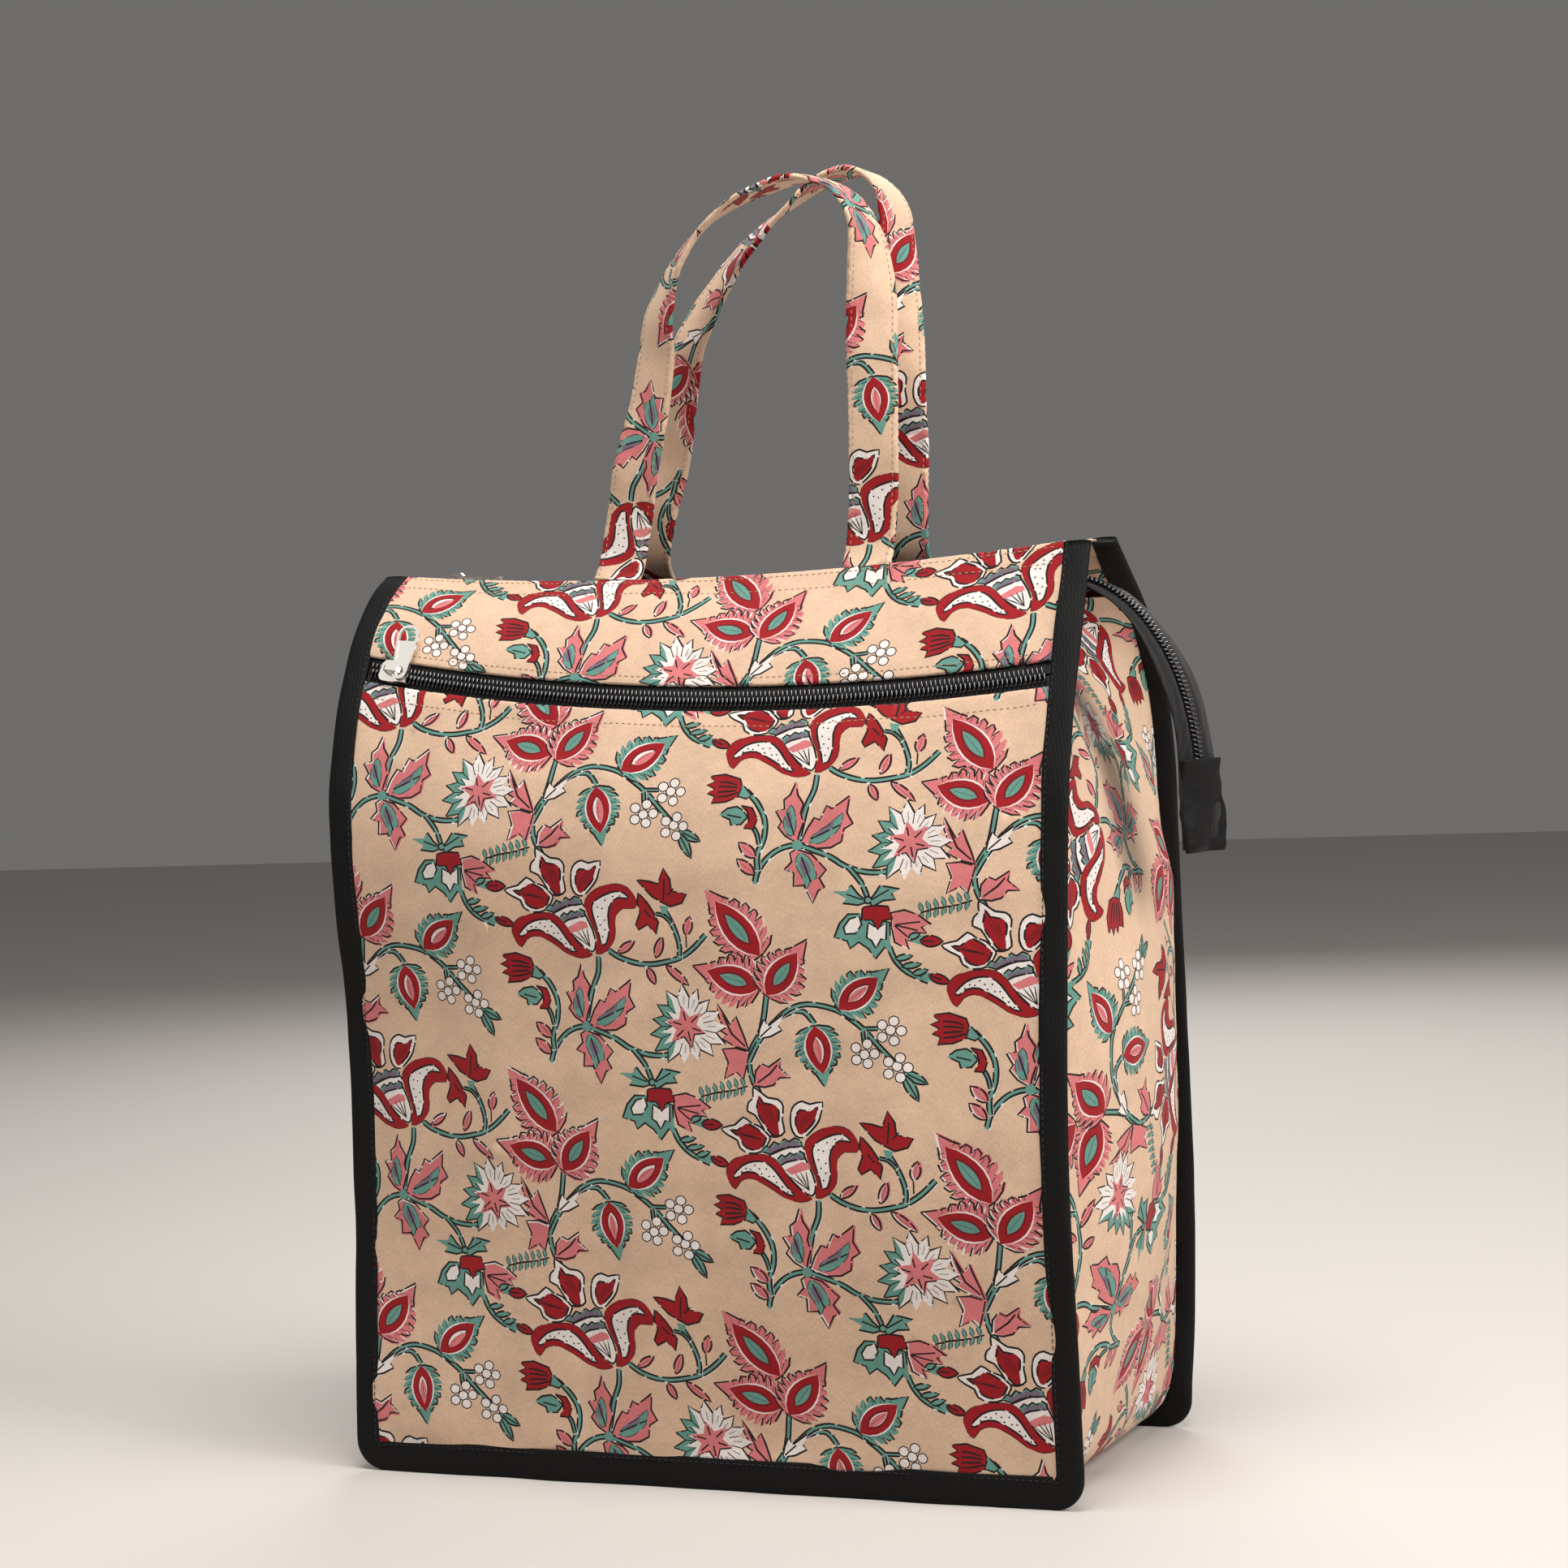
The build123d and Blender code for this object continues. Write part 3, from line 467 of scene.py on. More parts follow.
def draw_lotus():
    """Large lotus with two dotted horn petals, a striped pod and three upper petals."""
    left_upper = [(60, 260), (120, 245), (160, 212), (195, 236), (232, 250), (262, 280), (272, 302),
                  (238, 352), (182, 362), (140, 342), (128, 310), (92, 290)]
    left_red = [(98, 265), (130, 268), (168, 240), (200, 248), (240, 276), (256, 300), (228, 344),
                (188, 346), (156, 330), (138, 297)]
    middle_upper = [(205, 88), (236, 105), (270, 130), (310, 136), (332, 165), (326, 222), (332, 272),
                    (300, 292), (268, 286), (240, 246), (212, 202), (180, 186), (186, 150), (206, 130)]
    middle_red = [(230, 118), (250, 152), (298, 160), (314, 190), (308, 240), (310, 284), (282, 284),
                  (252, 242), (222, 190), (226, 150)]
    right_upper = [(362, 194), (378, 160), (410, 144), (440, 156), (492, 148), (482, 200), (470, 232),
                   (440, 268), (410, 294), (378, 288), (360, 250)]
    right_red = [(384, 204), (400, 180), (440, 186), (472, 168), (456, 226), (430, 257), (404, 282),
                 (386, 272), (380, 234)]
    for outer, inner in ((left_upper, left_red), (middle_upper, middle_red), (right_upper, right_red)):
        shape(outer, "white")
        fill(rounded(inner), "red")
        outline(rounded(inner), True, (30, 90), (20, 60))
        middle = np.mean(inner, axis=0)
        foot = np.array([330, 330])
        for sway in (-14, 4, 20):
            near = blend(middle, foot, 0.35) + (sway * 0.5, 0)
            far = blend(middle, foot, -0.42) + (sway, 0)
            band(np.array([near, (near + far) / 2 + (2, 0), far]), 3.2, "line", 0.4)
    left_horn = [(440, 548), (390, 562), (330, 547), (280, 512), (230, 482), (180, 466), (140, 480),
                 (114, 514), (90, 488), (76, 450), (84, 415), (110, 388), (150, 373), (200, 366),
                 (250, 366), (292, 384), (322, 420), (348, 462), (380, 500), (415, 528)]
    left_pale = [(108, 456), (150, 413), (200, 395), (250, 398), (288, 428), (318, 470), (348, 512),
                 (366, 532), (338, 530), (300, 500), (252, 468), (200, 440), (152, 444), (122, 466)]
    right_horn = [(455, 545), (510, 528), (544, 480), (548, 425), (552, 382), (582, 352), (634, 352),
                  (640, 316), (618, 274), (580, 250), (536, 246), (488, 256), (446, 280), (418, 310),
                  (414, 344), (430, 392), (450, 436), (462, 480)]
    right_pale = [(482, 500), (506, 498), (520, 440), (516, 380), (530, 332), (560, 306), (606, 310),
                  (590, 288), (555, 278), (510, 290), (470, 310), (446, 336), (446, 372), (460, 420),
                  (474, 466)]
    pod = [(262, 372), (300, 402), (350, 462), (400, 512), (440, 534), (456, 500), (444, 440), (412, 372),
           (398, 322)]
    shape(pod, "white")
    fill([(322, 432), (392, 398), (420, 404), (428, 426), (350, 452)], "pink", True)
    for end in ((352, 456), (374, 444), (396, 438), (418, 436)):
        band(np.array([(430, 512), blend(np.array((430, 512)), np.array(end), 0.6), end]), 6, "line", 0.5)
    zig = [(232, 352), (252, 330), (268, 336), (288, 312), (306, 322), (330, 300), (348, 312), (372, 296),
           (398, 306), (402, 330), (372, 334), (342, 334), (308, 346), (272, 364)]
    fill(zig, "teal")
    fill(np.array(zig) * 0.82 + (62, 62), "grey")
    outline(zig, True, (50, 120), (5, 12))
    zag = [(296, 388), (318, 366), (334, 374), (352, 358), (370, 366), (392, 350), (410, 360), (412, 382),
           (372, 388), (338, 396), (312, 410)]
    fill(zag, "teal")
    fill(np.array(zag) * 0.8 + (74, 80), "grey")
    outline(zag, True, (50, 120), (5, 12))
    for horn, pale in ((left_horn, left_pale), (right_horn, right_pale)):
        fill(rounded(horn), "red")
        outline(rounded(horn), True, (60, 150), (20, 50), 3.6)
        fill(rounded(pale), "white")
        outline(rounded(pale), True, (60, 160), (6, 16))
    dots = [(145, 440), (165, 425), (185, 428), (205, 410), (225, 425), (235, 445), (255, 425),
            (265, 455), (285, 455), (295, 480), (318, 498), (340, 520), (490, 470), (500, 440),
            (480, 420), (500, 400), (470, 385), (490, 350), (520, 345), (470, 345), (505, 315),
            (540, 300), (570, 298)]
    for spot in dots:
        fill(ring_points(spot, 4.8, 4), "line")


def draw_vines():
    """Stems that join the motifs."""
    vine([(512, 524), (560, 556), (630, 581), (700, 588), (770, 577), (830, 560), (890, 520), (945, 465)])
    vine([(765, 360), (802, 430), (826, 500), (824, 556)], 17)
    vine([(718, 375), (760, 384), (795, 418)], 12)
    vine([(1190, 715), (1168, 860), (1118, 960), (1118, 1050), (1156, 1128)])
    vine([(1110, 1000), (1154, 917), (1219, 834), (1284, 795), (1345, 790), (1390, 842)], 18)
    vine([(1225, 828), (1284, 780), (1360, 759), (1458, 777), (1524, 813), (1589, 865), (1654, 938),
          (1720, 1010)], 18)
    vine([(1585, 862), (1650, 862)], 14)
    vine([(1585, 866), (1592, 930)], 14)
    vine([(466, 552), (462, 620), (432, 700), (404, 838)], 19)
    vine([(232, 1010), (245, 958), (282, 904), (332, 866), (400, 852), (470, 875), (540, 905), (600, 945),
          (680, 970), (760, 970), (804, 940)])
    vine([(608, 945), (660, 1010), (690, 1078)], 17)
    vine([(245, 955), (242, 890), (266, 820), (266, 740), (230, 668), (180, 615)])
    vine([(248, 850), (236, 800), (212, 762)], 14)
    vine([(776, 1270), (800, 1330), (850, 1385), (930, 1425)], 18)
    vine([(800, 1240), (850, 1246), (905, 1260)], 14)


def draw_leaves():
    """Three serrated leaves, two buds and the smaller leaves along the stems."""
    for base, tip in (((1166, 558), (986, 326)), ((1162, 692), (944, 616)), ((1188, 722), (1322, 545))):
        leaf_bud(base, tip, width=112, teeth=7, reach=62, frill="pink", core=0.52, core_ink="teal")
    leaf_bud((1485, 782), (1652, 652), width=104, teeth=6, reach=54, frill="teal",
             core=0.5, core_ink="pink")
    leaf_bud((1388, 848), (1416, 1048), width=100, teeth=7, reach=52, frill="teal",
             core=0.55, core_ink="pink")
    for base, tip, width in (
            ((556, 540), (632, 488), 34), ((722, 562), (754, 470), 36), ((682, 602), (716, 674), 32),
            ((762, 592), (862, 678), 34), ((858, 468), (876, 388), 40), ((236, 902), (165, 836), 44),
            ((232, 972), (160, 905), 42)):
        small_leaf(base, tip, width)
    outline([(858, 520), (858, 470)], False)
    shape([(1152, 902), (1160, 858), (1176, 822), (1198, 846), (1264, 796), (1238, 846), (1254, 866),
           (1206, 892)], "white", False)
    outline([(1160, 895), (1210, 850)], False)
    shape([(1112, 950), (1096, 900), (1076, 850), (1060, 808), (1034, 842), (1010, 800), (984, 754),
           (986, 800), (1002, 844), (986, 862), (1020, 884), (1000, 902), (1060, 936)], "pink", False,
           True)
    outline([(1100, 935), (1040, 880), (1005, 800)], False)
    shape([(1114, 958), (1056, 940), (1000, 944), (1022, 1000), (1004, 1068), (1056, 1040), (1086, 1068),
           (1102, 1010)], "pink", False, True)
    shape([(1132, 1096), (1138, 1036), (1164, 1004), (1194, 1018), (1246, 982), (1240, 1022),
           (1284, 1062), (1240, 1062), (1216, 1092), (1178, 1102)], "pink", False, True)
    outline([(1145, 1085), (1200, 1045), (1230, 1010)], False)
    spine = np.array([(896, 1146), (960, 1128), (1030, 1118), (1104, 1098)])
    outline(rounded(spine, False), False)
    for k in range(7):
        root = blend(spine[0], spine[-1], (k + 0.5) / 7)
        for side in (-1, 1):
            tip = root + (-14, side * 40 - 4)
            fill(almond(root, tip, 18, 4), "teal")
            outline(almond(root, tip, 18, 4), True, (30, 60), (6, 16), 3.6)
    for base, tip in (((1745, 1040), (1842, 1090)), ((1745, 1050), (1806, 1160))):
        line = almond(base, tip, 40, 6)
        fill(line, "teal")
        outline(line)
        base, tip = np.array(base), np.array(tip)
        outline([blend(base, tip, 0.1), blend(base, tip, 0.9)], False)
    for centre, start in (((1700, 868), 4), ((1590, 968), -4), ((1722, 1016), 6)):
        berries(centre, start)


def draw_maples():
    """Three maple leaves round one joint."""
    upper = [(400, 842), (352, 812), (322, 774), (336, 752), (310, 706), (346, 700), (342, 660),
             (366, 640), (384, 584), (396, 640), (422, 680), (412, 716), (424, 760), (410, 800)]
    upper_core = [(372, 682), (394, 738), (388, 806), (360, 806), (342, 752)]
    right = [(416, 840), (440, 782), (468, 738), (490, 748), (518, 690), (540, 704), (608, 652),
             (600, 722), (624, 768), (590, 790), (582, 842), (540, 866), (480, 868)]
    right_core = [(448, 838), (480, 798), (530, 770), (584, 722), (574, 782), (538, 822), (490, 848)]
    lower = [(398, 868), (374, 884), (382, 920), (352, 952), (390, 966), (388, 1022), (430, 1020),
             (466, 1094), (490, 1042), (516, 1030), (494, 992), (522, 958), (490, 922), (460, 890)]
    lower_core = [(412, 884), (450, 904), (476, 950), (482, 992), (456, 1000), (442, 1036), (420, 980),
                  (396, 930)]
    for leaf, core in ((upper, upper_core), (right, right_core), (lower, lower_core)):
        shape(leaf, "pink", False, True)
        fill(rounded(core), "teal")
        middle = np.mean(core, axis=0)
        fill(rounded(np.array(core) * 0.55 + middle * 0.45 + (-6, -10)), "grey")
        outline(rounded(core), True, (30, 80), (8, 22), 3.8)
        joint = np.array((402, 852))
        outline([blend(joint, middle, 0.4), blend(joint, middle, 1.45)], False)
    fill(ring_points((402, 852), 22, 8), "teal")


def draw_flowers():
    """Chrysanthemum, bell flower, trumpets, tulip and buds."""
    upper = [(645, 230), (700, 238), (738, 250), (762, 183), (790, 230), (796, 280), (862, 295),
             (840, 332), (790, 346), (750, 326), (710, 302), (680, 270)]
    lower = [(650, 285), (690, 330), (716, 370), (737, 410), (726, 462), (690, 420), (650, 442),
             (638, 420), (656, 370), (644, 330)]
    for flower, lines in ((upper, ((760, 320), (766, 230))), (lower, ((712, 400), (676, 360)))):
        fill(np.array(flower) * 1.03 - np.mean(flower, axis=0) * 0.03, "white")
        shape(flower, "red", False)
        outline(lines, False)
        near, far = np.array(lines)
        outline([blend(near, far, 0.2) + (18, -4), far + (40, 40)], False)
    fill([(742, 340), (782, 346), (774, 374), (752, 376)], "teal")
    centre = np.array((850, 850))
    size, tip_reach, notch_reach = 30, 166, 118
    turns = np.linspace(0, 2 * np.pi, size, endpoint=False)
    uneven = 1 + 0.09 * np.sin(3 * turns + 0.6)
    reach = np.where(np.arange(size) % 2 == 0, tip_reach, notch_reach) * uneven
    star = centre + reach[:, None] * np.stack([np.cos(turns), np.sin(turns)], axis=1)
    shape(star, "white", False)
    teal_arc = list(star[10:21])
    inner_arc = [blend(centre, star[k], 0.58 if k % 2 else 0.72) for k in range(20, 9, -1)]
    shape(np.array(teal_arc + inner_arc), "teal", False)
    for k in range(size):
        way = np.array([math.cos(turns[k]), math.sin(turns[k])])
        if k % 2:
            band(np.array([centre + way * reach[k] * 0.62, centre + way * reach[k]]), 7, "line", 0.6)
        elif not 10 <= k <= 20:
            band(np.array([centre + way * reach[k] * 0.5, centre + way * reach[k] * 0.72]), 5, "line", 0.5)
    size = 12
    petals = np.linspace(0.3, 2 * np.pi + 0.3, size, endpoint=False)
    pink_reach = np.where(np.arange(size) % 2 == 0, 92, 46)
    pink = centre + pink_reach[:, None] * np.stack([np.cos(petals), np.sin(petals)], axis=1)
    shape(pink, "pink", False, True)
    for k in range(0, size, 2):
        outline([blend(centre, pink[k], 0.2), blend(centre, pink[k], 0.7)], False)
    left_sepal = [(690, 1094), (650, 1106), (590, 1097), (604, 1078), (548, 1046), (604, 1048),
                  (622, 1022), (652, 1062)]
    right_sepal = [(692, 1094), (718, 1060), (738, 1028), (772, 1034), (818, 1044), (786, 1062),
                   (802, 1086), (752, 1090), (712, 1112)]
    pink_petal = [(786, 1200), (784, 1140), (838, 1130), (890, 1150), (944, 1192), (904, 1200),
                  (924, 1228), (872, 1222), (880, 1262), (842, 1250), (856, 1292), (800, 1262)]
    teal_petal = [(664, 1142), (610, 1142), (576, 1180), (554, 1236), (606, 1252), (618, 1284),
                  (652, 1258), (692, 1286), (722, 1328), (760, 1280), (784, 1306), (778, 1180),
                  (740, 1170), (700, 1160)]
    pale_left = [(654, 1152), (616, 1162), (592, 1196), (600, 1224), (640, 1222), (664, 1186)]
    pale_right = [(690, 1178), (684, 1240), (704, 1252), (722, 1286), (744, 1246), (764, 1250),
                  (766, 1184), (728, 1202)]
    red_top = [(668, 1116), (712, 1108), (772, 1114), (790, 1164), (752, 1172), (730, 1208), (706, 1168),
               (664, 1168)]
    shape(pink_petal, "pink", False, True)
    for end in ((900, 1180), (890, 1215), (850, 1240)):
        outline([(795, 1190), end], False)
    shape(teal_petal, "teal", False)
    for pale in (pale_left, pale_right):
        shape(pale, "white", False)
    shape(red_top, "red", False)
    for sepal in (left_sepal, right_sepal):
        shape(sepal, "teal", False)
    outline([(670, 1085), (605, 1060)], False)
    outline([(705, 1085), (775, 1045)], False)
    shape(ring_points((690, 1086), 15, 8), "teal", False)
    tulip = [(168, 612), (150, 562), (84, 538), (20, 545), (46, 570), (12, 584), (46, 601), (18, 622),
             (50, 636), (38, 666), (100, 662), (150, 642)]
    shape(tulip, "red", False)
    for sway in (-28, -8, 14, 34):
        outline([(150, 606 + sway * 0.5), (100, 602 + sway), (60, 602 + sway * 1.1)], False)
    shape([(164, 588), (206, 636), (186, 652), (150, 640)], "teal", False)
    shape([(168, 680), (214, 692), (236, 738), (222, 780), (182, 776), (202, 742), (194, 706)], "red",
           False)
    shape([(74, 716), (110, 690), (150, 684), (176, 700), (196, 730), (170, 760), (128, 762), (122, 738)],
           "teal", False)
    outline([(100, 715), (170, 732)], False)
    for base, tip, width in (((898, 1258), (988, 1262), 46), ((930, 1398), (1012, 1432), 38)):
        fill(almond(np.array(base) - (40, 8), tip, width * 0.9, 6), "teal")
        line = almond(base, tip, width, 6)
        fill(line, "red")
        outline(line)
        outline([base, blend(np.array(base), np.array(tip), 0.6)], False)
    for base, tip in (((800, 1330), (872, 1318)), ((826, 1362), (906, 1352)), ((866, 1394), (930, 1376)),
                      ((852, 1246), (900, 1228))):
        line = almond(base, tip, 26, 4)
        fill(line, "teal")
        outline(line)


draw_vines()
draw_leaves()
draw_maples()
draw_flowers()
draw_lotus()
motif = [((points - sketch_origin) * sketch_scale, ink, loose) for points, ink, loose in motif]
motif_low = np.min([points.min(axis=0) for points, _, _ in motif], axis=0)
motif_high = np.max([points.max(axis=0) for points, _, _ in motif], axis=0)
ink_names = list(inks)


def inside(points, polygon):
    """Which points lie inside a polygon."""
    x, y = np.asarray(points, float).T[:, :, None]
    x0, y0 = polygon.T
    x1, y1 = np.roll(polygon, -1, axis=0).T
    rising = (y0 > y) != (y1 > y)
    with np.errstate(divide="ignore", invalid="ignore"):
        cross = x < (x1 - x0) * (y - y0) / (y1 - y0) + x0
    return (rising & cross).sum(axis=1) % 2 == 1


def turned_left(points):
    """Outline whose inside lies on the left of its edges."""
    x, y = points.T
    area = (x * np.roll(y, -1) - y * np.roll(x, -1)).sum()
    return points if area > 0 else points[::-1]


def print_layout(low, high, origin, turn, seed):
    """All the print's shapes that touch a box of flat cloth, in the order they are printed."""
    rng = random.Random(seed)
    spin = np.array([[math.cos(turn), math.sin(turn)], [-math.sin(turn), math.cos(turn)]])
    corners = np.array([(low[0], low[1]), (high[0], low[1]), (high[0], high[1]), (low[0], high[1])])
    corners = (corners - origin) @ spin.T
    reach_low, reach_high = corners.min(axis=0), corners.max(axis=0)
    first = math.floor((reach_low[0] - motif_high[0]) / repeat_across)
    last = math.ceil((reach_high[0] - motif_low[0]) / repeat_across)
    shapes, colours = [], []
    for column in range(first, last + 1):
        rows_low = math.floor((reach_low[1] - motif_high[1] - column * repeat_drop) / repeat_up)
        rows_high = math.ceil((reach_high[1] - motif_low[1] - column * repeat_drop) / repeat_up)
        for row in range(rows_low, rows_high + 1):
            shift = np.array([column * repeat_across, column * repeat_drop + row * repeat_up])
            stray = np.array([rng.uniform(-1.1, 1.1), rng.uniform(-1.2, 0.6)])
            for points, ink, loose in motif:
                placed = turned_left((points + shift + (stray if loose else 0)) @ spin + origin)
                if (placed.max(axis=0) > low).all() and (placed.min(axis=0) < high).all():
                    shapes.append(placed)
                    colours.append(ink_names.index(ink))
    return shapes, colours


def colour_fields(spots, tris, inks_of, loose_points):
    """The same colours in fewer triangles: of the edges, only those where two colours meet stay."""
    sides = {}
    for tri, ink in zip(tris, inks_of):
        for pair in zip(tri, tri[1:] + tri[:1]):
            sides.setdefault(tuple(sorted(pair)), []).append(ink)
    edges = np.array([pair for pair, found in sides.items() if len(found) == 1 or found[0] != found[1]])
    kept, edges = np.unique(edges, return_inverse=True)
    points = np.concatenate([spots[kept], loose_points])
    edges = edges.reshape(-1, 2).tolist()
    made = delaunay_2d_cdt([Vector(p) for p in points], edges, [], 1, joining, False)
    fields = BVHTree.FromPolygons([(x, y, 0) for x, y in spots], tris)
    points = np.array([tuple(p) for p in made[0]])
    corners = points[np.array(made[2])]
    sides = np.roll(corners, -1, axis=1) - corners
    areas = np.abs(sides[:, 0, 0] * sides[:, 1, 1] - sides[:, 0, 1] * sides[:, 1, 0])
    heights = areas / np.linalg.norm(sides, axis=2).max(axis=1)
    found_tris, found_inks = [], []
    for tri, height, (x, y) in zip(made[2], heights, corners.mean(axis=1).tolist()):
        _, _, field, far = fields.find_nearest((x, y, 0))
        if far < off_cloth and height > thinnest:
            found_tris.append(list(tri))
            found_inks.append(inks_of[field])
    return points, found_tris, found_inks


def printed_faces(edge, origin, turn, spacing, seed, folds):
    """Flat triangles of printed cloth inside an edge line, made block by block, with the colour of each."""
    edge = turned_left(np.asarray(edge, float))
    low, high = edge.min(axis=0) - off_cloth, edge.max(axis=0) + off_cloth
    shapes, colours = print_layout(low, high, origin, turn, seed)
    lows = np.array([shape_points.min(axis=0) for shape_points in shapes])
    highs = np.array([shape_points.max(axis=0) for shape_points in shapes])
    counts = np.maximum(1, np.ceil((high - low) / print_block).astype(int))
    size = (high - low) / counts
    inner = np.maximum(1, np.round(size / spacing).astype(int))
    grid = (np.array([(i, j) for i in range(inner[0]) for j in range(inner[1])]) + 0.5) / inner
    steps = np.linspace(0, 1, int(print_block / rim_step), endpoint=False)
    rim = [(t, 0) for t in steps] + [(1, t) for t in steps]
    rim += [(1 - t, 1) for t in steps] + [(0, 1 - t) for t in steps]
    all_points, all_tris, all_inks, total = [], [], [], 0
    for column in range(counts[0]):
        for row in range(counts[1]):
            start = low + size * (column, row)
            stop = start + size
            box = start + size * np.array(rim)
            near = ((edge > start) & (edge < stop)).all(axis=1).any()
            clear = inside(box, edge).all() and not near
            picked = np.nonzero((highs > start).all(axis=1) & (lows < stop).all(axis=1))[0]
            verts = [box] + ([] if clear else [edge]) + [shapes[k] for k in picked]
            owners_ink = [0] * (1 if clear else 2) + [colours[k] for k in picked]
            ends = np.cumsum([len(v) for v in verts])
            faces = [list(range(end - len(v), end)) for v, end in zip(verts, ends)]
            reach = [(*v.min(axis=0), *v.max(axis=0)) for v in verts]
            folded = folds[((folds > start) & (folds < stop)).all(axis=1)]
            loose_points = np.concatenate([start + grid * size, folded])
            made = delaunay_2d_cdt([Vector(p) for p in np.concatenate(verts)], [], faces, 1, joining, True)
            spots = np.array([tuple(p) for p in made[0]])
            middles = spots[np.array(made[2])].mean(axis=1).tolist()
            tris, inks_of = [], []
            for tri, owners, (x, y) in zip(made[2], made[5], middles):
                if 0 in owners and (clear or 1 in owners):
                    near = [k for k in owners
                            if reach[k][0] < x < reach[k][2] and reach[k][1] < y < reach[k][3]]
                    tris.append(list(tri))
                    inks_of.append(owners_ink[max(near)])
            if tris:
                spots, tris, inks_of = colour_fields(spots, tris, inks_of, loose_points)
                all_tris += [[i + total for i in tri] for tri in tris]
                all_inks += inks_of
                all_points.append(spots)
                total += len(spots)
    points, lookup = np.unique(np.round(np.concatenate(all_points), 3), axis=0, return_inverse=True)
    tris = lookup.ravel()[np.array(all_tris)]
    whole = (tris[:, 0] != tris[:, 1]) & (tris[:, 1] != tris[:, 2]) & (tris[:, 0] != tris[:, 2])
    used, tris = np.unique(tris[whole], return_inverse=True)
    return points[used], tris.reshape(-1, 3).tolist(), np.array(all_inks)[whole]


def new_mesh(name, points, faces, body="bag"):
    """A mesh object from points in millimetres."""
    mesh = bpy.data.meshes.new(name)
    mesh.from_pydata([tuple(p) for p in np.asarray(points) * mm], [], faces)
    mesh.shade_smooth()
    piece = bpy.data.objects.new(name, mesh)
    bpy.context.scene.collection.objects.link(piece)
    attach(piece, body)
    return piece


def give_flat(piece, flat):
    """Cloth coordinates of a mesh: one map that fills the square, one in tenths of a metre."""
    mesh = piece.data
    corners = np.empty(len(mesh.loops), int)
    mesh.loops.foreach_get("vertex_index", corners)
    flat = np.asarray(flat, float)[corners]
    low, size = flat.min(axis=0), np.ptp(flat, axis=0).max()
    for name, values in (("OFBake", (flat - low) / size * 0.98 + 0.01), ("Flat", flat / 100)):
        mesh.uv_layers.new(name=name).data.foreach_set("uv", values.astype(np.float32).ravel())


def printed_piece(name, outline_points, place, origin, turn, spacing, seed, folds=np.zeros((0, 2))):
    """A printed cloth piece: flat print laid onto its surface."""
    flat, tris, inks_of = printed_faces(outline_points, origin, turn, spacing, seed, folds)
    piece = new_mesh(name, place(flat[:, 0], flat[:, 1]), tris)
    give_flat(piece, flat)
    palette = np.array([(*linear(inks[ink]), 1.0) for ink in ink_names], np.float32)
    values = np.repeat(palette[np.array(inks_of)], 3, axis=0)
    attribute = piece.data.color_attributes.new("Print", "FLOAT_COLOR", "CORNER")
    attribute.data.foreach_set("color", values.ravel())
    piece.data.materials.append(printed_cotton)
    return piece


# Materials
def material(name):
    """New node material with its main nodes."""
    made = bpy.data.materials.new(name)
    made.use_nodes = True
    nodes, links = made.node_tree.nodes, made.node_tree.links
    return made, nodes, links, nodes["Principled BSDF"]


def add(nodes, kind, **values):
    """New node with some inputs or settings."""
    node = nodes.new(kind)
    for key, value in values.items():
        if key in node.inputs:
            node.inputs[key].default_value = value
        else:
            setattr(node, key, value)
    return node


def tune(node, values):
    """Set some inputs of a node."""
    for key, value in values.items():
        node.inputs[key].default_value = value


def noise(nodes, links, coords, **settings):
    """Noise over some coordinates."""
    made = add(nodes, "ShaderNodeTexNoise", **settings)
    links.new(coords, made.inputs["Vector"])
    return made.outputs[0]


def stretched(nodes, links, source, low, high):
    """Noise stretched to lie between two values."""
    made = nodes.new("ShaderNodeMapRange")
    tune(made, {"From Min": 0.3, "From Max": 0.7, "To Min": low, "To Max": high})
    links.new(source, made.inputs[0])
    return made.outputs[0]


def maths(nodes, links, operation, *terms):
    """A sum or product of sockets and plain numbers."""
    made = add(nodes, "ShaderNodeMath", operation=operation)
    for socket, term in zip(made.inputs, terms):
        if isinstance(term, float):
            socket.default_value = term
        else:
            links.new(term, socket)
    return made.outputs[0]


def two_tones(nodes, links, source, first, last):
    """Colour between two others."""
    made = nodes.new("ShaderNodeValToRGB")
    for stop, colour in zip(made.color_ramp.elements, (first, last)):
        stop.color = (*colour, 1)
    links.new(source, made.inputs[0])
    return made.outputs[0]


def bumped(nodes, links, shader, height, strength, distance):
    """Bump of a shader from a height."""
    bump = add(nodes, "ShaderNodeBump", Strength=strength, Distance=distance)
    links.new(height, bump.inputs["Height"])
    links.new(bump.outputs[0], shader.inputs["Normal"])


def weave_bump(nodes, links, shader, coords, scale, strength, distance):
    """Plain weave: two crossed sets of threads as a bump."""
    sets = []
    for direction in ("X", "Y"):
        wave = add(nodes, "ShaderNodeTexWave", bands_direction=direction, wave_type="BANDS")
        tune(wave, {"Scale": scale, "Distortion": 1.2, "Detail": 1.0})
        links.new(coords, wave.inputs["Vector"])
        sets.append(wave.outputs["Fac"])
    threads = maths(nodes, links, "ADD", *sets)
    bumped(nodes, links, shader, threads, strength, distance)
    return threads


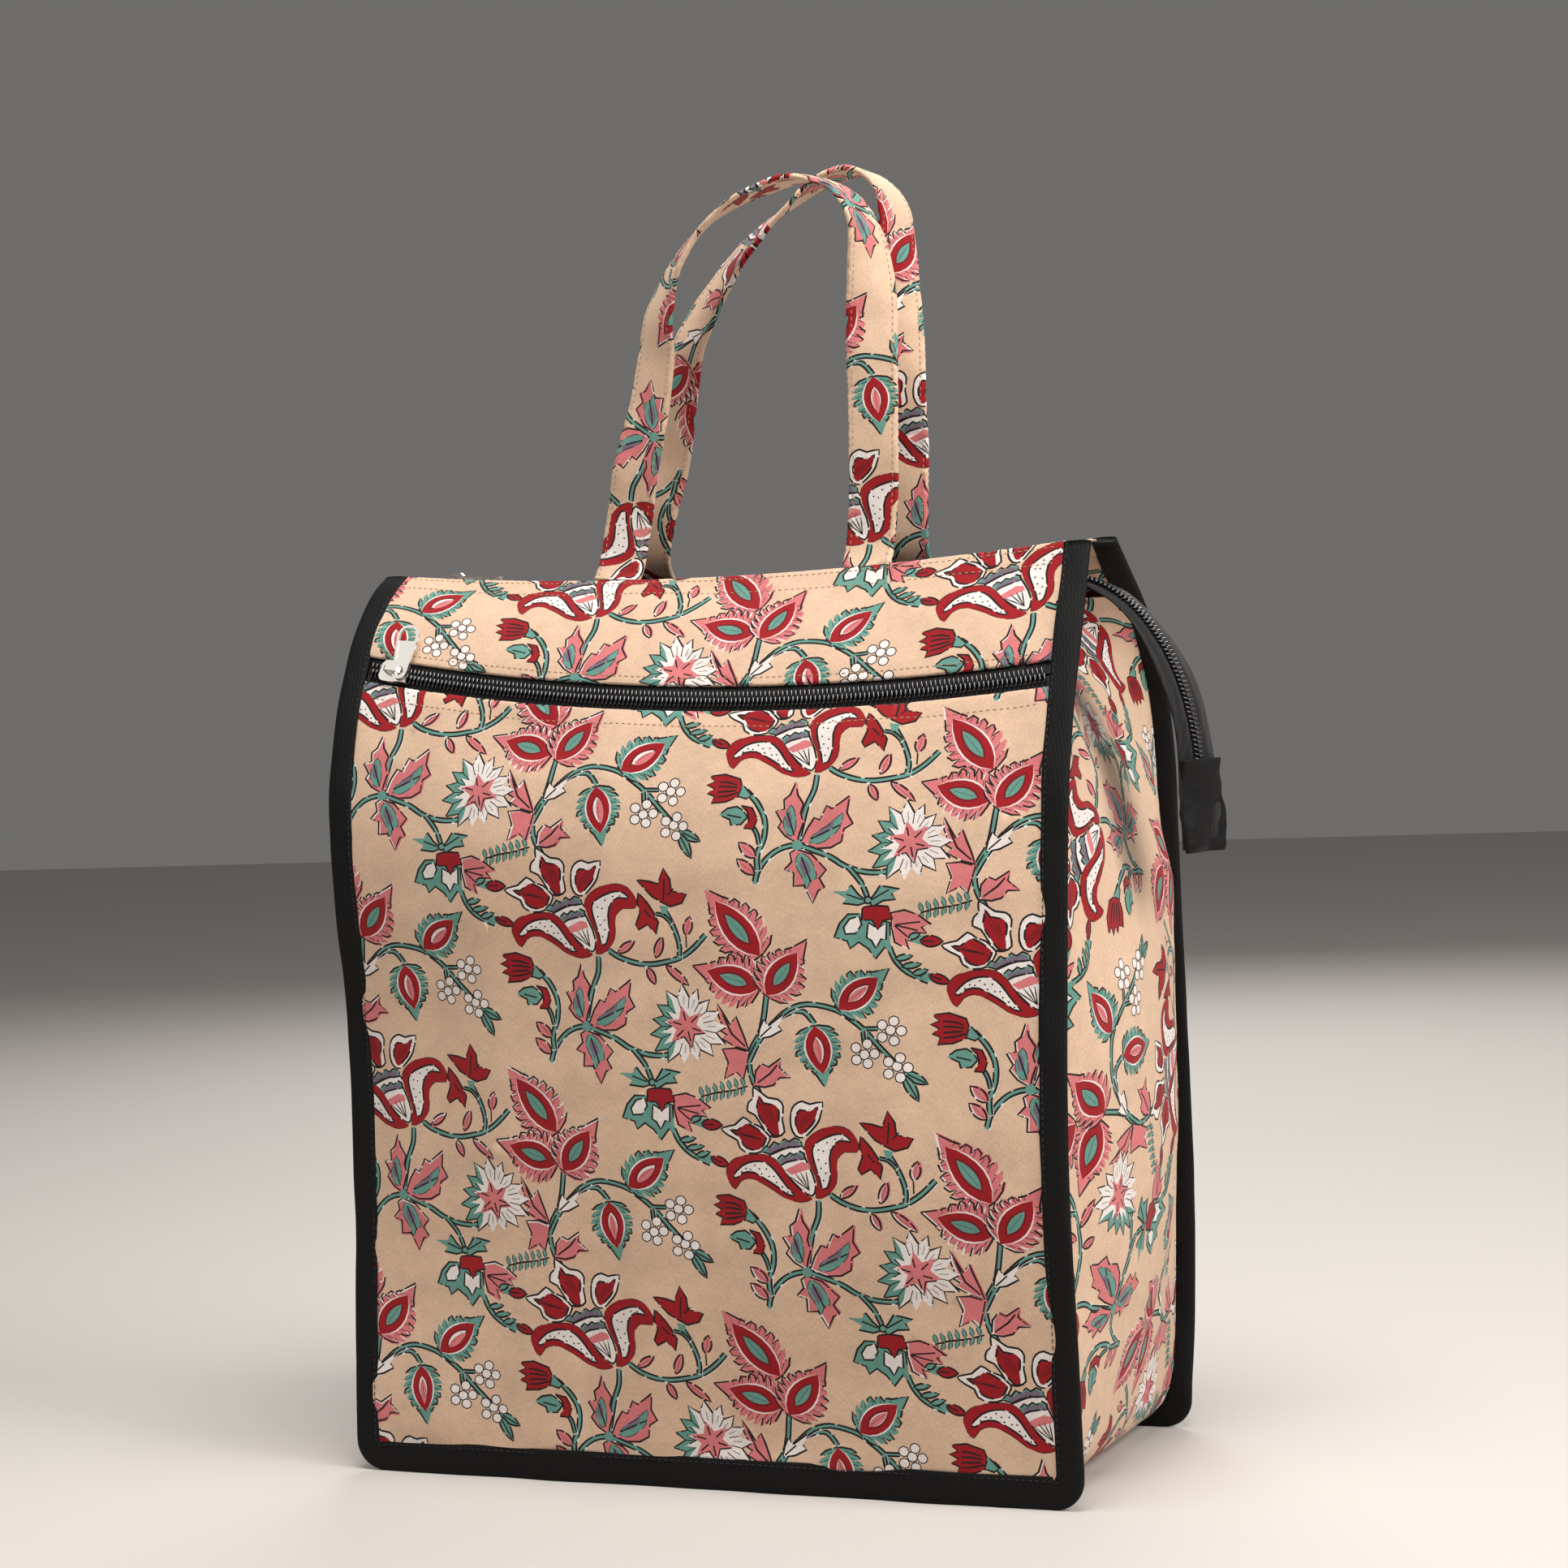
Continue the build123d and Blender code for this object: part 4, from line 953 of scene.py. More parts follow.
def printed_cotton_material():
    """Cotton whose print is a colour field, with slubs, uneven dye and a plain weave."""
    made, nodes, links, shader = material("printed_cotton")
    colour = add(nodes, "ShaderNodeVertexColor", layer_name="Print")
    flat = add(nodes, "ShaderNodeUVMap", uv_map="Flat").outputs[0]
    slub_map = add(nodes, "ShaderNodeMapping", Scale=(1.0, 0.35, 1.0))
    links.new(flat, slub_map.inputs["Vector"])
    slubs = noise(nodes, links, slub_map.outputs[0], Scale=190.0, Detail=3.0, Roughness=0.6)
    dye = noise(nodes, links, flat, Scale=14.0, Detail=4.0, Roughness=0.6)
    level = maths(nodes, links, "MULTIPLY", stretched(nodes, links, slubs, 0.82, 1.1),
                  stretched(nodes, links, dye, 0.93, 1.05))
    mixed = add(nodes, "ShaderNodeMix", data_type="RGBA", blend_type="MULTIPLY")
    mixed.inputs["Factor"].default_value = 1.0
    links.new(colour.outputs[0], mixed.inputs["A"])
    links.new(level, mixed.inputs["B"])
    links.new(mixed.outputs["Result"], shader.inputs["Base Color"])
    tune(shader, {"Roughness": 0.86, "Sheen Weight": 0.12, "Specular IOR Level": 0.25})
    weave_bump(nodes, links, shader, flat, 90.0, 0.25, 0.0003)
    return made


def black_cloth_material(name, level, scale, roughness, sheen):
    """Black cloth with a fine weave and a soft shine; its thread bands are painted lighter as painted
    sheen, over random tone.
    """
    made, nodes, links, shader = material(name)
    place = nodes.new("ShaderNodeTexCoord").outputs["Object"]
    turned = add(nodes, "ShaderNodeMapping", Rotation=(0.3, 0.2, math.radians(38)))
    links.new(place, turned.inputs["Vector"])
    threads = weave_bump(nodes, links, shader, turned.outputs[0], scale, 0.35, 0.0002)
    wear = maths(nodes, links, "MULTIPLY", noise(nodes, links, place, Scale=420.0, Detail=3.0), 0.5)
    # Painted sheen: the weave's thread bands lighten the colour on their crests, and the wear noise adds
    # random tone.
    tone = maths(nodes, links, "MULTIPLY_ADD", threads, 0.32, wear)
    dark, light = ([level * share for share in shares] for shares in ((0.4, 0.4, 0.42), (2.2, 2.2, 2.25)))
    links.new(two_tones(nodes, links, tone, dark, light), shader.inputs["Base Color"])
    tune(shader, {"Roughness": roughness, "Sheen Weight": sheen, "Sheen Roughness": 0.4,
                  "Specular IOR Level": 0.2})
    return made


def coil_material():
    """Shiny black nylon."""
    made, nodes, links, shader = material("zip_coil")
    place = nodes.new("ShaderNodeTexCoord").outputs["Object"]
    grain = noise(nodes, links, place, Scale=900.0, Detail=2.0)
    links.new(stretched(nodes, links, grain, 0.10, 0.20), shader.inputs["Roughness"])
    tune(shader, {"Base Color": (0.004, 0.004, 0.005, 1), "Specular IOR Level": 0.9, "Coat Weight": 0.5,
                  "Coat Roughness": 0.15})
    return made


def nickel_material():
    """Plated metal, a little scuffed."""
    made, nodes, links, shader = material("nickel")
    place = nodes.new("ShaderNodeTexCoord").outputs["Object"]
    scuffs = noise(nodes, links, place, Scale=1400.0, Detail=3.0, Roughness=0.6)
    links.new(stretched(nodes, links, scuffs, 0.2, 0.3), shader.inputs["Roughness"])
    tune(shader, {"Base Color": (0.92, 0.89, 0.84, 1), "Metallic": 1.0})
    bumped(nodes, links, shader, scuffs, 0.04, 0.0001)
    return made


def thread_material(name, colour):
    """Sewing thread."""
    made, nodes, links, shader = material(name)
    place = nodes.new("ShaderNodeTexCoord").outputs["Object"]
    fibres = noise(nodes, links, place, Scale=1500.0, Detail=2.0)
    base = linear(colour)
    tone = two_tones(nodes, links, fibres, [c * 0.7 for c in base], base)
    links.new(tone, shader.inputs["Base Color"])
    tune(shader, {"Roughness": 0.6})
    return made


printed_cotton = printed_cotton_material()
black_binding = black_cloth_material("black_binding", level=0.003, scale=260.0, roughness=0.72, sheen=0.02)
zip_tape = black_cloth_material("zip_tape", level=0.008, scale=130.0, roughness=0.6, sheen=0.06)
lining_cotton = black_cloth_material("lining_cotton", level=0.05, scale=240.0, roughness=0.85, sheen=0.05)
zip_coil = coil_material()
nickel = nickel_material()
pale_thread = thread_material("pale_thread", (184, 146, 110))
black_thread = thread_material("black_thread", (30, 30, 31))


def tube(sections):
    """Points and faces of a closed skin over sections with equal counts of points."""
    size = len(sections[0])
    faces = [tuple(range(size))[::-1], tuple(range((len(sections) - 1) * size, len(sections) * size))]
    for k in range(len(sections) - 1):
        for i in range(size):
            a, b = k * size + i, k * size + (i + 1) % size
            faces.append((a, b, b + size, a + size))
    return np.concatenate(sections), faces


# Stitches: distance apart, share of it that shows, thickness, and rings of each bead along it
stitch_pitch, binding_stitch_pitch = 3.0, 3.1
stitch_share, stitch_radius, stitch_sides = 0.68, 0.26, 5
stitch_rings = ((-0.5, 0.35, 0.25), (-0.28, 1.0, 0), (0.28, 1.0, 0), (0.5, 0.35, 0.25))
stitch_lift = 0.15


def stitches(name, places, outs, pitch, thread):
    """Row of sewn stitches along a line, each a small bead of thread."""
    places, outs = np.asarray(places, float), np.asarray(outs, float)
    total = np.linalg.norm(np.diff(places, axis=0), axis=1).sum()
    count = max(2, int(total / pitch))
    line = even(places, 2 * count + 1)
    marks = np.linspace(0, 1, len(places))
    outs = np.stack([np.interp(np.linspace(0, 1, 2 * count + 1), marks, c) for c in outs.T], axis=1)
    angles = 2 * np.pi * np.arange(stitch_sides) / stitch_sides
    points, faces = [], []
    for k in range(count):
        way = line[2 * k + 2] - line[2 * k]
        way = way / np.linalg.norm(way)
        out = outs[2 * k + 1] / np.linalg.norm(outs[2 * k + 1])
        cross = np.cross(way, out)
        rings = []
        for along, thick, dip in stitch_rings:
            middle = line[2 * k + 1] + way * (along * pitch * stitch_share)
            lift = stitch_radius * thick * (np.sin(angles) + stitch_lift) - dip
            sway = stitch_radius * thick * np.cos(angles)
            rings.append(middle + np.outer(lift, out) + np.outer(sway, cross))
        bead, skin = tube(rings)
        faces += [tuple(i + len(points) for i in face) for face in skin]
        points += list(bead)
    piece = new_mesh(name, points, faces)
    piece.data.materials.append(thread)
    return piece


# Front panel, yoke and back panel
fold_in = math.pi * fold_radius + fold_overlap
front = Panel(panel_line, front=True, seed=5, folds=(False, True))
yoke = Panel(yoke_line, front=True, seed=6, folds=(True, True), ripple_height=0.5)
back = Panel(back_line, front=False, seed=7, folds=(False, True), ripple_height=0.9)


def panel_outline(panel, low, high):
    """Flat outline of a panel between the bindings."""
    xs = np.linspace(-panel_half - under_binding, panel_half + under_binding, 60)
    tops = panel.length(xs) + high
    upper = np.stack([xs, tops], axis=1)[::-1]
    lower = np.stack([xs, np.full_like(xs, low)], axis=1)
    return np.concatenate([lower, upper])


def panel_folds(panel, foot):
    """Rows of flat places close together where a panel's edge turns over."""
    steps = np.concatenate([[-7, -3.5, -1.5, 0], np.linspace(0, math.pi * fold_radius, 7)[1:], [5]])
    rows = []
    for x in np.linspace(-panel_half, panel_half, 120):
        rows += [(x, panel.length(x) + step) for step in steps]
        if foot:
            rows += [(x, -step) for step in steps]
    return np.array(rows)


# Where the print lies on each piece of cloth, and how far apart its loose points are
front_print_spot, back_print_spot = np.array([63.0, 123.0]), np.array([20.0, 60.0])
yoke_print_spot, yoke_print_turn = np.array([-58.0, 34.0]), math.radians(5)
front_spacing, yoke_spacing, back_spacing, gusset_spacing, strap_spacing = 5.0, 4.0, 5.5, 5.5, 2.6

front_piece = printed_piece("front_panel_cloth", panel_outline(front, 0, fold_in), front.place,
                            front_print_spot, turn=0, spacing=front_spacing, seed=21,
                            folds=panel_folds(front, False))
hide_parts("front_panel")
yoke_piece = printed_piece("front_yoke_cloth", panel_outline(yoke, -fold_in, fold_in), yoke.place,
                           yoke_print_spot, turn=yoke_print_turn, spacing=yoke_spacing, seed=22,
                           folds=panel_folds(yoke, True))
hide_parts("front_yoke")
back_piece = printed_piece("back_panel_cloth", panel_outline(back, 0, fold_in),
                           lambda x, s: back.place(-x, s), back_print_spot, turn=0,
                           spacing=back_spacing, seed=23, folds=panel_folds(back, False))
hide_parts("back_panel")


def panel_stitch(name, panel, drop, top, inset=4.0):
    """Row of stitches at a distance below a panel's top edge or above its foot."""
    xs = np.linspace(-panel_half + inset, panel_half - inset, 160)
    s = panel.length(xs) - drop if top else np.full_like(xs, drop)
    _, _, out = panel.base(xs, s)
    outs = np.stack([np.zeros_like(xs), out[:, 0], out[:, 1]], axis=1)
    return stitches(name, panel.place(xs, s), outs, stitch_pitch, pale_thread)


for name, panel, drop, top in (
        ("pocket_edge_stitches", front, 7.0, True),
        ("yoke_foot_stitches", yoke, 3.0, False), ("yoke_hem_stitches", yoke, 9.5, True),
        ("yoke_edge_stitches", yoke, 1.8, True), ("back_hem_stitches", back, 9.5, True),
        ("back_edge_stitches", back, 1.8, True)):
    panel_stitch(name, panel, drop, top)


# Bindings
def edge_line(across, front_side, count=150):
    """Edge of the front or back from the floor to the hem, as depth and height."""
    if front_side:
        return even(np.concatenate([[(-half_depth, 0)], panel_line(across), yoke_line(across)]), count)
    return even(np.concatenate([[(half_depth, 0)], back_line(across)]), count)


# Half of the binding's section: share of its width and height off its middle
binding_profile = [(0.0, 0.85), (0.05, 1.35), (0.16, 1.5), (0.4, 1.75), (0.7, 1.8), (0.9, 1.55),
                   (0.98, 0.8), (1.0, 0.0)]
binding_profile = binding_profile + [(u, -h) for u, h in binding_profile[-2::-1]]


def binding_piece(name, node, front_side, seed):
    """Black cloth folded over an edge: down one side, along the foot and up the other side."""
    stations = []
    lines = {side: edge_line(across, front_side) for side, across in ((-1, 0), (1, 1))}
    ripple = ripples(seed, count=8, longest=90, shortest=16, height=0.35)
    foot_depth = -half_depth if front_side else half_depth
    out_sign = 1 if front_side else -1
    for side in (-1, 1):
        run = []
        line = lines[side]
        ways = np.gradient(line, axis=0)
        ways = ways / np.linalg.norm(ways, axis=1)[:, None]
        for spot, way in zip(line, ways):
            if spot[1] >= binding_corner:
                out = np.array([0, -way[1], way[0]]) * out_sign
                run.append((np.array([side * half_width, spot[0], spot[1]]),
                            np.array([side * panel_half, spot[0], spot[1]]), out))
        corner = []
        for step in range(1, 9):
            angle = math.pi / 2 * step / 9
            way = np.array([side * math.cos(angle), 0, -math.sin(angle)])
            middle = np.array([side * (half_width - binding_corner), foot_depth, binding_corner])
            width = blend(binding_width, binding_foot - 0.6, step / 9)
            corner.append((middle + way * binding_corner, middle + way * (binding_corner - width),
                           np.array([0, -out_sign, 0])))
        if side < 0:
            stations += run[::-1] + corner
        else:
            foot = []
            for x in np.linspace(-half_width + binding_corner, half_width - binding_corner, 120):
                foot.append((np.array([x, foot_depth, 0]), np.array([x, foot_depth, binding_foot]),
                             np.array([0, -out_sign, 0])))
            stations += foot + corner[::-1] + run
    points, flat, faces = [], [], []
    steps = [np.linalg.norm(b[0] - a[0]) for a, b in zip(stations, stations[1:])]
    marks = np.concatenate([[0], np.cumsum(steps)])
    rows = len(binding_profile)
    for (outer, inner, out), mark in zip(stations, marks):
        for k, (u, h) in enumerate(binding_profile):
            wave = float(ripple(np.array(mark), np.array(u * 14))) * (1 if h > 0 else 0.6)
            place = inner + (outer - inner) * (u + (0.012 * math.sin(mark / 9) if u == 0 else 0))
            points.append(place + out * (h + (wave if abs(h) > 0.2 else 0)))
            flat.append((mark, k * 2.0))
    for i in range(len(stations) - 1):
        for k in range(rows - 1):
            a = i * rows + k
            faces.append((a, a + 1, a + 1 + rows, a + rows))
    faces.append(tuple(range(rows)))
    faces.append(tuple(range((len(stations) - 1) * rows, len(stations) * rows))[::-1])
    points = np.array(points)
    points[:, 2] = np.maximum(points[:, 2], 0)
    piece = new_mesh(name, points, faces if front_side else [face[::-1] for face in faces])
    give_flat(piece, flat)
    piece.data.materials.append(black_binding)
    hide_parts(node)
    inset = [inner + (outer - inner) * 0.13 + out * 1.55 for outer, inner, out in stations]
    outs = [out for _, _, out in stations]
    stitches(name + "_stitches", inset, outs, binding_stitch_pitch, black_thread)
    return piece


binding_piece("front_binding_cloth", "front_binding", True, 31)
binding_piece("back_binding_cloth", "back_binding", False, 32)


# Gusset
def gusset_rows(count=33):
    """Rows of points across the gusset, from the top of one side round to the top of the other."""
    shares = np.linspace(0, 1, count)
    heights = np.array([gusset_corner] + [body_height * h for h in gusset_height_shares])
    bulges = np.array([0.0] + gusset_bulges)
    gap = binding_thickness / 2 + 0.3
    rows = {}
    for side, across in ((-1, 0), (1, 1)):
        front_edge, back_edge = edge_line(across, True, 300), edge_line(across, False, 300)
        made = []
        for z in np.linspace(gusset_corner, heights[-1], 130):
            near = np.interp(z, front_edge[:, 1], front_edge[:, 0]) + gap
            far = np.interp(z, back_edge[:, 1], back_edge[:, 0]) - gap
            bulge = np.interp(z, heights, bulges)
            power = blend(1.4, 2.4, float(ease((bulge + 8) / 12)))
            out = seam_half + bulge * (1 - np.abs(2 * shares - 1)**power)
            made.append(np.stack([side * out, blend(near, far, shares), np.full(count, z)], axis=1))
        rows[side] = made
    depth = half_depth - gap
    ys = blend(-depth, depth, shares)
    under = []
    for side in (-1, 1):
        turn = []
        for step in range(10):
            angle = math.pi / 2 * step / 10
            x = side * (seam_half - gusset_corner + gusset_corner * math.sin(angle))
            z = gusset_corner - gusset_corner * math.cos(angle)
            turn.append(np.stack([np.full(count, x), ys, np.full(count, z)], axis=1))
        under.append(turn)
    flat_run = []
    for x in np.linspace(-seam_half + gusset_corner, seam_half - gusset_corner, 80)[1:-1]:
        flat_run.append(np.stack([np.full(count, x), ys, np.zeros(count)], axis=1))
    return np.array(rows[-1][::-1] + under[0][::-1] + flat_run + under[1] + rows[1])


gusset_grid = gusset_rows()
gusset_marks = np.concatenate([[0], np.cumsum(np.linalg.norm(np.diff(gusset_grid[:, 16], axis=0), axis=1))])
gusset_width = 170.0
gusset_ripple = ripples(41, count=8, longest=130, shortest=30, height=0.7)
gusset_crease = ripples(42, count=5, longest=60, shortest=18, height=0.5)

# Soft dents on each side: height, place across, spread up and across, depth
gusset_dents = [
    (268, 152, 26, 6, 1.8), (232, 142, 24, 8, 2.4), (150, 150, 34, 7, 2.2), (92, 138, 30, 9, 2.6),
    (70, 96, 5, 46, 1.2), (196, 24, 44, 9, 2.0), (110, 20, 36, 8, 1.8)]


def gusset_place(along, across):
    """Place in space of a flat place on the gusset."""
    row = np.interp(along, gusset_marks, np.arange(len(gusset_marks)))
    i = np.minimum(row.astype(int), len(gusset_marks) - 2)
    share = np.clip(1 - across / gusset_width, 0, 1) * (gusset_grid.shape[1] - 1)
    j = np.minimum(share.astype(int), gusset_grid.shape[1] - 2)
    a, b = (row - i)[:, None], (share - j)[:, None]
    spot = ((gusset_grid[i, j] * (1 - a) + gusset_grid[i + 1, j] * a) * (1 - b)
            + (gusset_grid[i, j + 1] * (1 - a) + gusset_grid[i + 1, j + 1] * a) * b)
    edge = ease(np.minimum(across, gusset_width - across) / 26)
    rise = ease((spot[:, 2] - 30) / 60)
    wave = (gusset_ripple(along, across) + gusset_crease(along * 0.5, across * 1.6) * 0.8) * edge * rise
    for height, middle, tall, wide, depth in gusset_dents:
        wave -= depth * np.exp(-((spot[:, 2] - height) / tall)**2 - ((across - middle) / wide)**2)
    spot[:, 0] += np.sign(spot[:, 0]) * wave
    return spot


gusset_length = gusset_marks[-1]
gusset_outline = [(x, 0) for x in np.linspace(0, gusset_length, 160)]
gusset_outline += [(x, gusset_width) for x in np.linspace(gusset_length, 0, 160)]
gusset_print_height, gusset_print_across = 187.0, 48.0
gusset_print_along = np.interp(gusset_print_height, gusset_grid[-130:, 16, 2], gusset_marks[-130:])
gusset_piece = printed_piece("gusset_cloth", gusset_outline, gusset_place,
                             np.array([gusset_print_along, gusset_print_across]), turn=0,
                             spacing=gusset_spacing, seed=24)
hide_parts("gusset")


# Carrying straps
def strap_frames(strap, line, count=170):
    """Places along a strap, with the ways of its width and of its face."""
    points, ways = [], []
    for across_share, rise_share in zip(strap["across"], strap["rise"]):
        x = body_width * across_share
        hem = line((x + panel_half) / (2 * panel_half))
        settle = min(1, rise_share / strap_base_share)
        end_way = hem[-1] - hem[-2]
        y = blend(hem[-1][0] - strap["side"] * cloth / 2, strap["depth"], settle)
        z = blend(hem[-1][1] - cloth / 2, body_height, settle) + strap_rise * rise_share + strap_seat
        points.append((x, y, z))
        ways.append((0, *end_way))
    path = spline(points, ways[0], -np.array(ways[-1]), count)
    marks = np.array([np.argmin(np.linalg.norm(path - p, axis=1)) for p in np.array(points)]) / (count - 1)
    turns = np.radians(np.interp(np.linspace(0, 1, count), marks, strap["turns"]))
    forth = np.gradient(path, axis=0)
    forth = forth / np.linalg.norm(forth, axis=1)[:, None]
    level = np.cross(forth, (0, 1, 0))
    level = level / np.linalg.norm(level, axis=1)[:, None]
    wide = level * np.cos(turns)[:, None] + np.cross(forth, level) * np.sin(turns)[:, None]
    return path, wide, np.cross(wide, forth)


def strap_section(around):
    """Place round a strap's rounded section: across its width and off its middle."""
    half, thick = strap_width / 2, strap_thickness / 2
    straight, turn = strap_width - 2 * thick, math.pi * thick
    around = np.mod(around, 2 * (straight + turn))
    first = np.clip(around, 0, straight)
    second = np.clip(around - straight - turn, 0, straight)
    bend = np.clip(around - straight, 0, turn) / thick
    bend_back = np.clip(around - 2 * straight - turn, 0, turn) / thick
    swing = np.sin(bend) * (around < straight + turn) - np.sin(bend_back)
    across = -half + thick + first - second + thick * swing
    off = np.where(around > 2 * straight + turn, -thick * np.cos(bend_back), thick * np.cos(bend))
    dent = 0.22 * np.exp(-((half - np.abs(across) - 2.4) / 0.8)**2)
    return across, off - np.sign(off) * dent


strap_stitch_inset = 1.3
front_strap_print_spot, back_strap_print_spot = np.array([40.0, 12.0]), np.array([10.0, 30.0])


def strap_piece(name, node, strap, line, origin, seed):
    """Folded strap of printed cloth, stitched along both edges."""
    path, wide, face = strap_frames(strap, line)
    length = np.linalg.norm(np.diff(path, axis=0), axis=1).sum()
    girth = 2 * (strap_width - strap_thickness + math.pi * strap_thickness / 2)
    ripple = ripples(seed, count=7, longest=80, shortest=14, height=0.5)

    def place(along, around):
        row = np.clip(along / length, 0, 1) * (len(path) - 1)
        i = np.minimum(row.astype(int), len(path) - 2)
        mix = (row - i)[:, None]
        spot, w, f = (grid[i] * (1 - mix) + grid[i + 1] * mix for grid in (path, wide, face))
        across, off = strap_section(girth - around)
        wave = ripple(along, across * 0.8)
        return spot + w * across[:, None] + f * (off + wave)[:, None]

    edge = [(x, 0) for x in np.linspace(0, length, 90)] + [(x, girth) for x in np.linspace(length, 0, 90)]
    straight, bend = strap_width - strap_thickness, math.pi * strap_thickness / 2
    near_turn, far_turn = np.linspace(0.4, bend + 0.8, 6), np.linspace(-0.8, bend + 0.8, 7)
    turns = np.concatenate([near_turn, straight + bend + far_turn])
    folds = np.array([(x, around) for x in np.arange(2, length, 3.5) for around in turns])
    piece = printed_piece(name, edge, place, origin, math.pi / 2, strap_spacing, seed, folds)
    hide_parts(node)
    along = np.linspace(2, length - 2, 260)
    inset = strap_stitch_inset
    rows = (bend + inset, bend + straight - inset, straight + 2 * bend + inset, girth - inset)
    for label, around in zip("abcd", rows):
        around = np.full_like(along, around)
        spots = place(along, around)
        row = np.clip(along / length, 0, 1) * (len(path) - 1)
        _, off = strap_section(girth - around)
        outs = face[row.astype(int)] * np.sign(off)[:, None]
        stitches(name + "_stitches_" + label, spots, outs, stitch_pitch, pale_thread)
    return piece


strap_piece("front_strap_cloth", "front_handle", front_strap, yoke_line, front_strap_print_spot, 51)
strap_piece("back_strap_cloth", "back_handle", back_strap, back_line, back_strap_print_spot, 52)


# Zip coils: points round a loop and round its wire, wire radius and stretch, how far loops reach and lean
loop_steps, wire_sides, wire, wire_stretch = 12, 6, 0.46, 1.15
loop_inner, loop_skew = -0.7, 0.16


def coil_piece(name, node, frames, side, shift):
    """Nylon coil: one loop of wire for each step along the zip."""
    points, faces = [], []
    for spot, way, cross, up in frames:
        base = len(points)
        for step in range(loop_steps):
            angle = 2 * math.pi * step / loop_steps
            across = blend(loop_inner, coil_outer, 0.5 + 0.5 * math.cos(angle))
            rise = coil_height / 2 + (coil_height / 2 - wire) * math.sin(angle)
            skew = coil_pitch * (loop_skew * math.sin(angle) + 0.5 * shift)
            middle = spot + cross * (side * across) + up * rise + way * skew
            radial = cross * (side * math.cos(angle)) + up * math.sin(angle)
            for turn in range(wire_sides):
                bend = 2 * math.pi * turn / wire_sides
                out, along = wire * math.cos(bend), wire * wire_stretch * math.sin(bend)
                points.append(middle + radial * out + way * along)
            near, far = base + step * wire_sides, base + (step + 1) % loop_steps * wire_sides
            for turn in range(wire_sides):
                after = (turn + 1) % wire_sides
                faces.append((near + turn, near + after, far + after, far + turn))
    piece = new_mesh(name, points, faces)
    piece.data.materials.append(zip_coil)
    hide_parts(node)
    return piece


def front_coil_frames():
    """Places of the front zip's loops."""
    stop = math.asin((panel_half - 1.5) / zip_radius)
    count = int(2 * stop * zip_radius / coil_pitch)
    frames = []
    for k in range(count):
        turn = blend(-stop, stop, k / count)
        spot = on_zip(turn, 0, -(cloth / 2 + 0.3))
        way = zip_along * math.cos(turn) + zip_up * math.sin(turn)
        frames.append((spot, way, np.cross(zip_out, way), zip_out))
    return frames


# Top zip: turn of the tail, widths of tapes, and size of the end tab
tail_turn, tail_blend, tail_tape_half = 16.0, 24.0, 16.0
hem_inside, tape_sway, tape_sway_length = 2.6, 0.5, 9.0
tab_half, tab_thickness = 17.0, 5.4
tab_rows, tab_corners, tab_past_end = 30, 28, 1.5
top_heights = [body_height * share for share in top_zip_height_shares]
top_start = np.array([-panel_half + 0.3, mouth_middle, top_heights[0]])
top_turn = np.array([body_width * top_zip_straight_share, mouth_middle, top_heights[1]])
mouth_length = np.linalg.norm(top_turn - top_start)
tail_points = [top_turn[[0, 2]]]
tail_points += [(body_width * a, body_height * h) for a, h in zip(tail_across_shares, tail_height_shares)]
tail_points.append((tail_points[-1][0], body_height * tail_end_share))


def top_zip_frames():
    """Places along the top zip, over the mouth and down the tail, which turns a little to the front."""
    straight = np.linspace(top_start[[0, 2]], top_turn[[0, 2]], 60)
    tail = spline(tail_points, (top_turn - top_start)[[0, 2]], (0, -1), 80)
    line = np.concatenate([straight[:-1], tail])
    total = np.linalg.norm(np.diff(line, axis=0), axis=1).sum()
    count = int(total / coil_pitch)
    line = even(line, count + 1)
    frames = []
    for k in range(1, count):
        way = line[k + 1] - line[k - 1]
        way = np.array([way[0], 0, way[1]]) / np.linalg.norm(way)
        spot = np.array([line[k][0], mouth_middle, line[k][1]])
        up, cross = np.cross(way, (0, 1, 0)), np.array([0.0, 1.0, 0.0])
        past = (k * coil_pitch - mouth_length) / (total - mouth_length)
        turn = math.radians(tail_turn) * float(ease(past))
        level, rise = math.cos(turn), math.sin(turn)
        frames.append((spot, way, cross * level + up * rise, up * level - cross * rise))
    return frames


def top_tape_piece(name, node, side, line):
    """Woven tape beside the top coil: as wide as its half of the mouth, then as the tail."""
    sections = []
    for k, (spot, _, cross, up) in enumerate(top_frames):
        hem = line(min(1, (spot[0] + panel_half) / (2 * panel_half)))
        mouth = abs(np.interp(spot[2], hem[:, 1], hem[:, 0]) - mouth_middle) - hem_inside
        share = float(ease((k * coil_pitch - mouth_length) / tail_blend + 0.5))
        width = blend(mouth, tail_tape_half, share)
        sway = share * tape_sway * math.sin(k * coil_pitch / tape_sway_length + side)
        upper = [(coil_inner, 0), (width / 2, 0), (width, sway)]
        ring = upper + [(across, off - tape) for across, off in reversed(upper)]
        sections.append(np.array([spot + cross * (side * across) + up * off for across, off in ring]))
    points, faces = tube(sections)
    piece = new_mesh(name, points, faces if side < 0 else [face[::-1] for face in faces])
    piece.data.materials.append(zip_tape)
    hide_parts(node)
    return piece


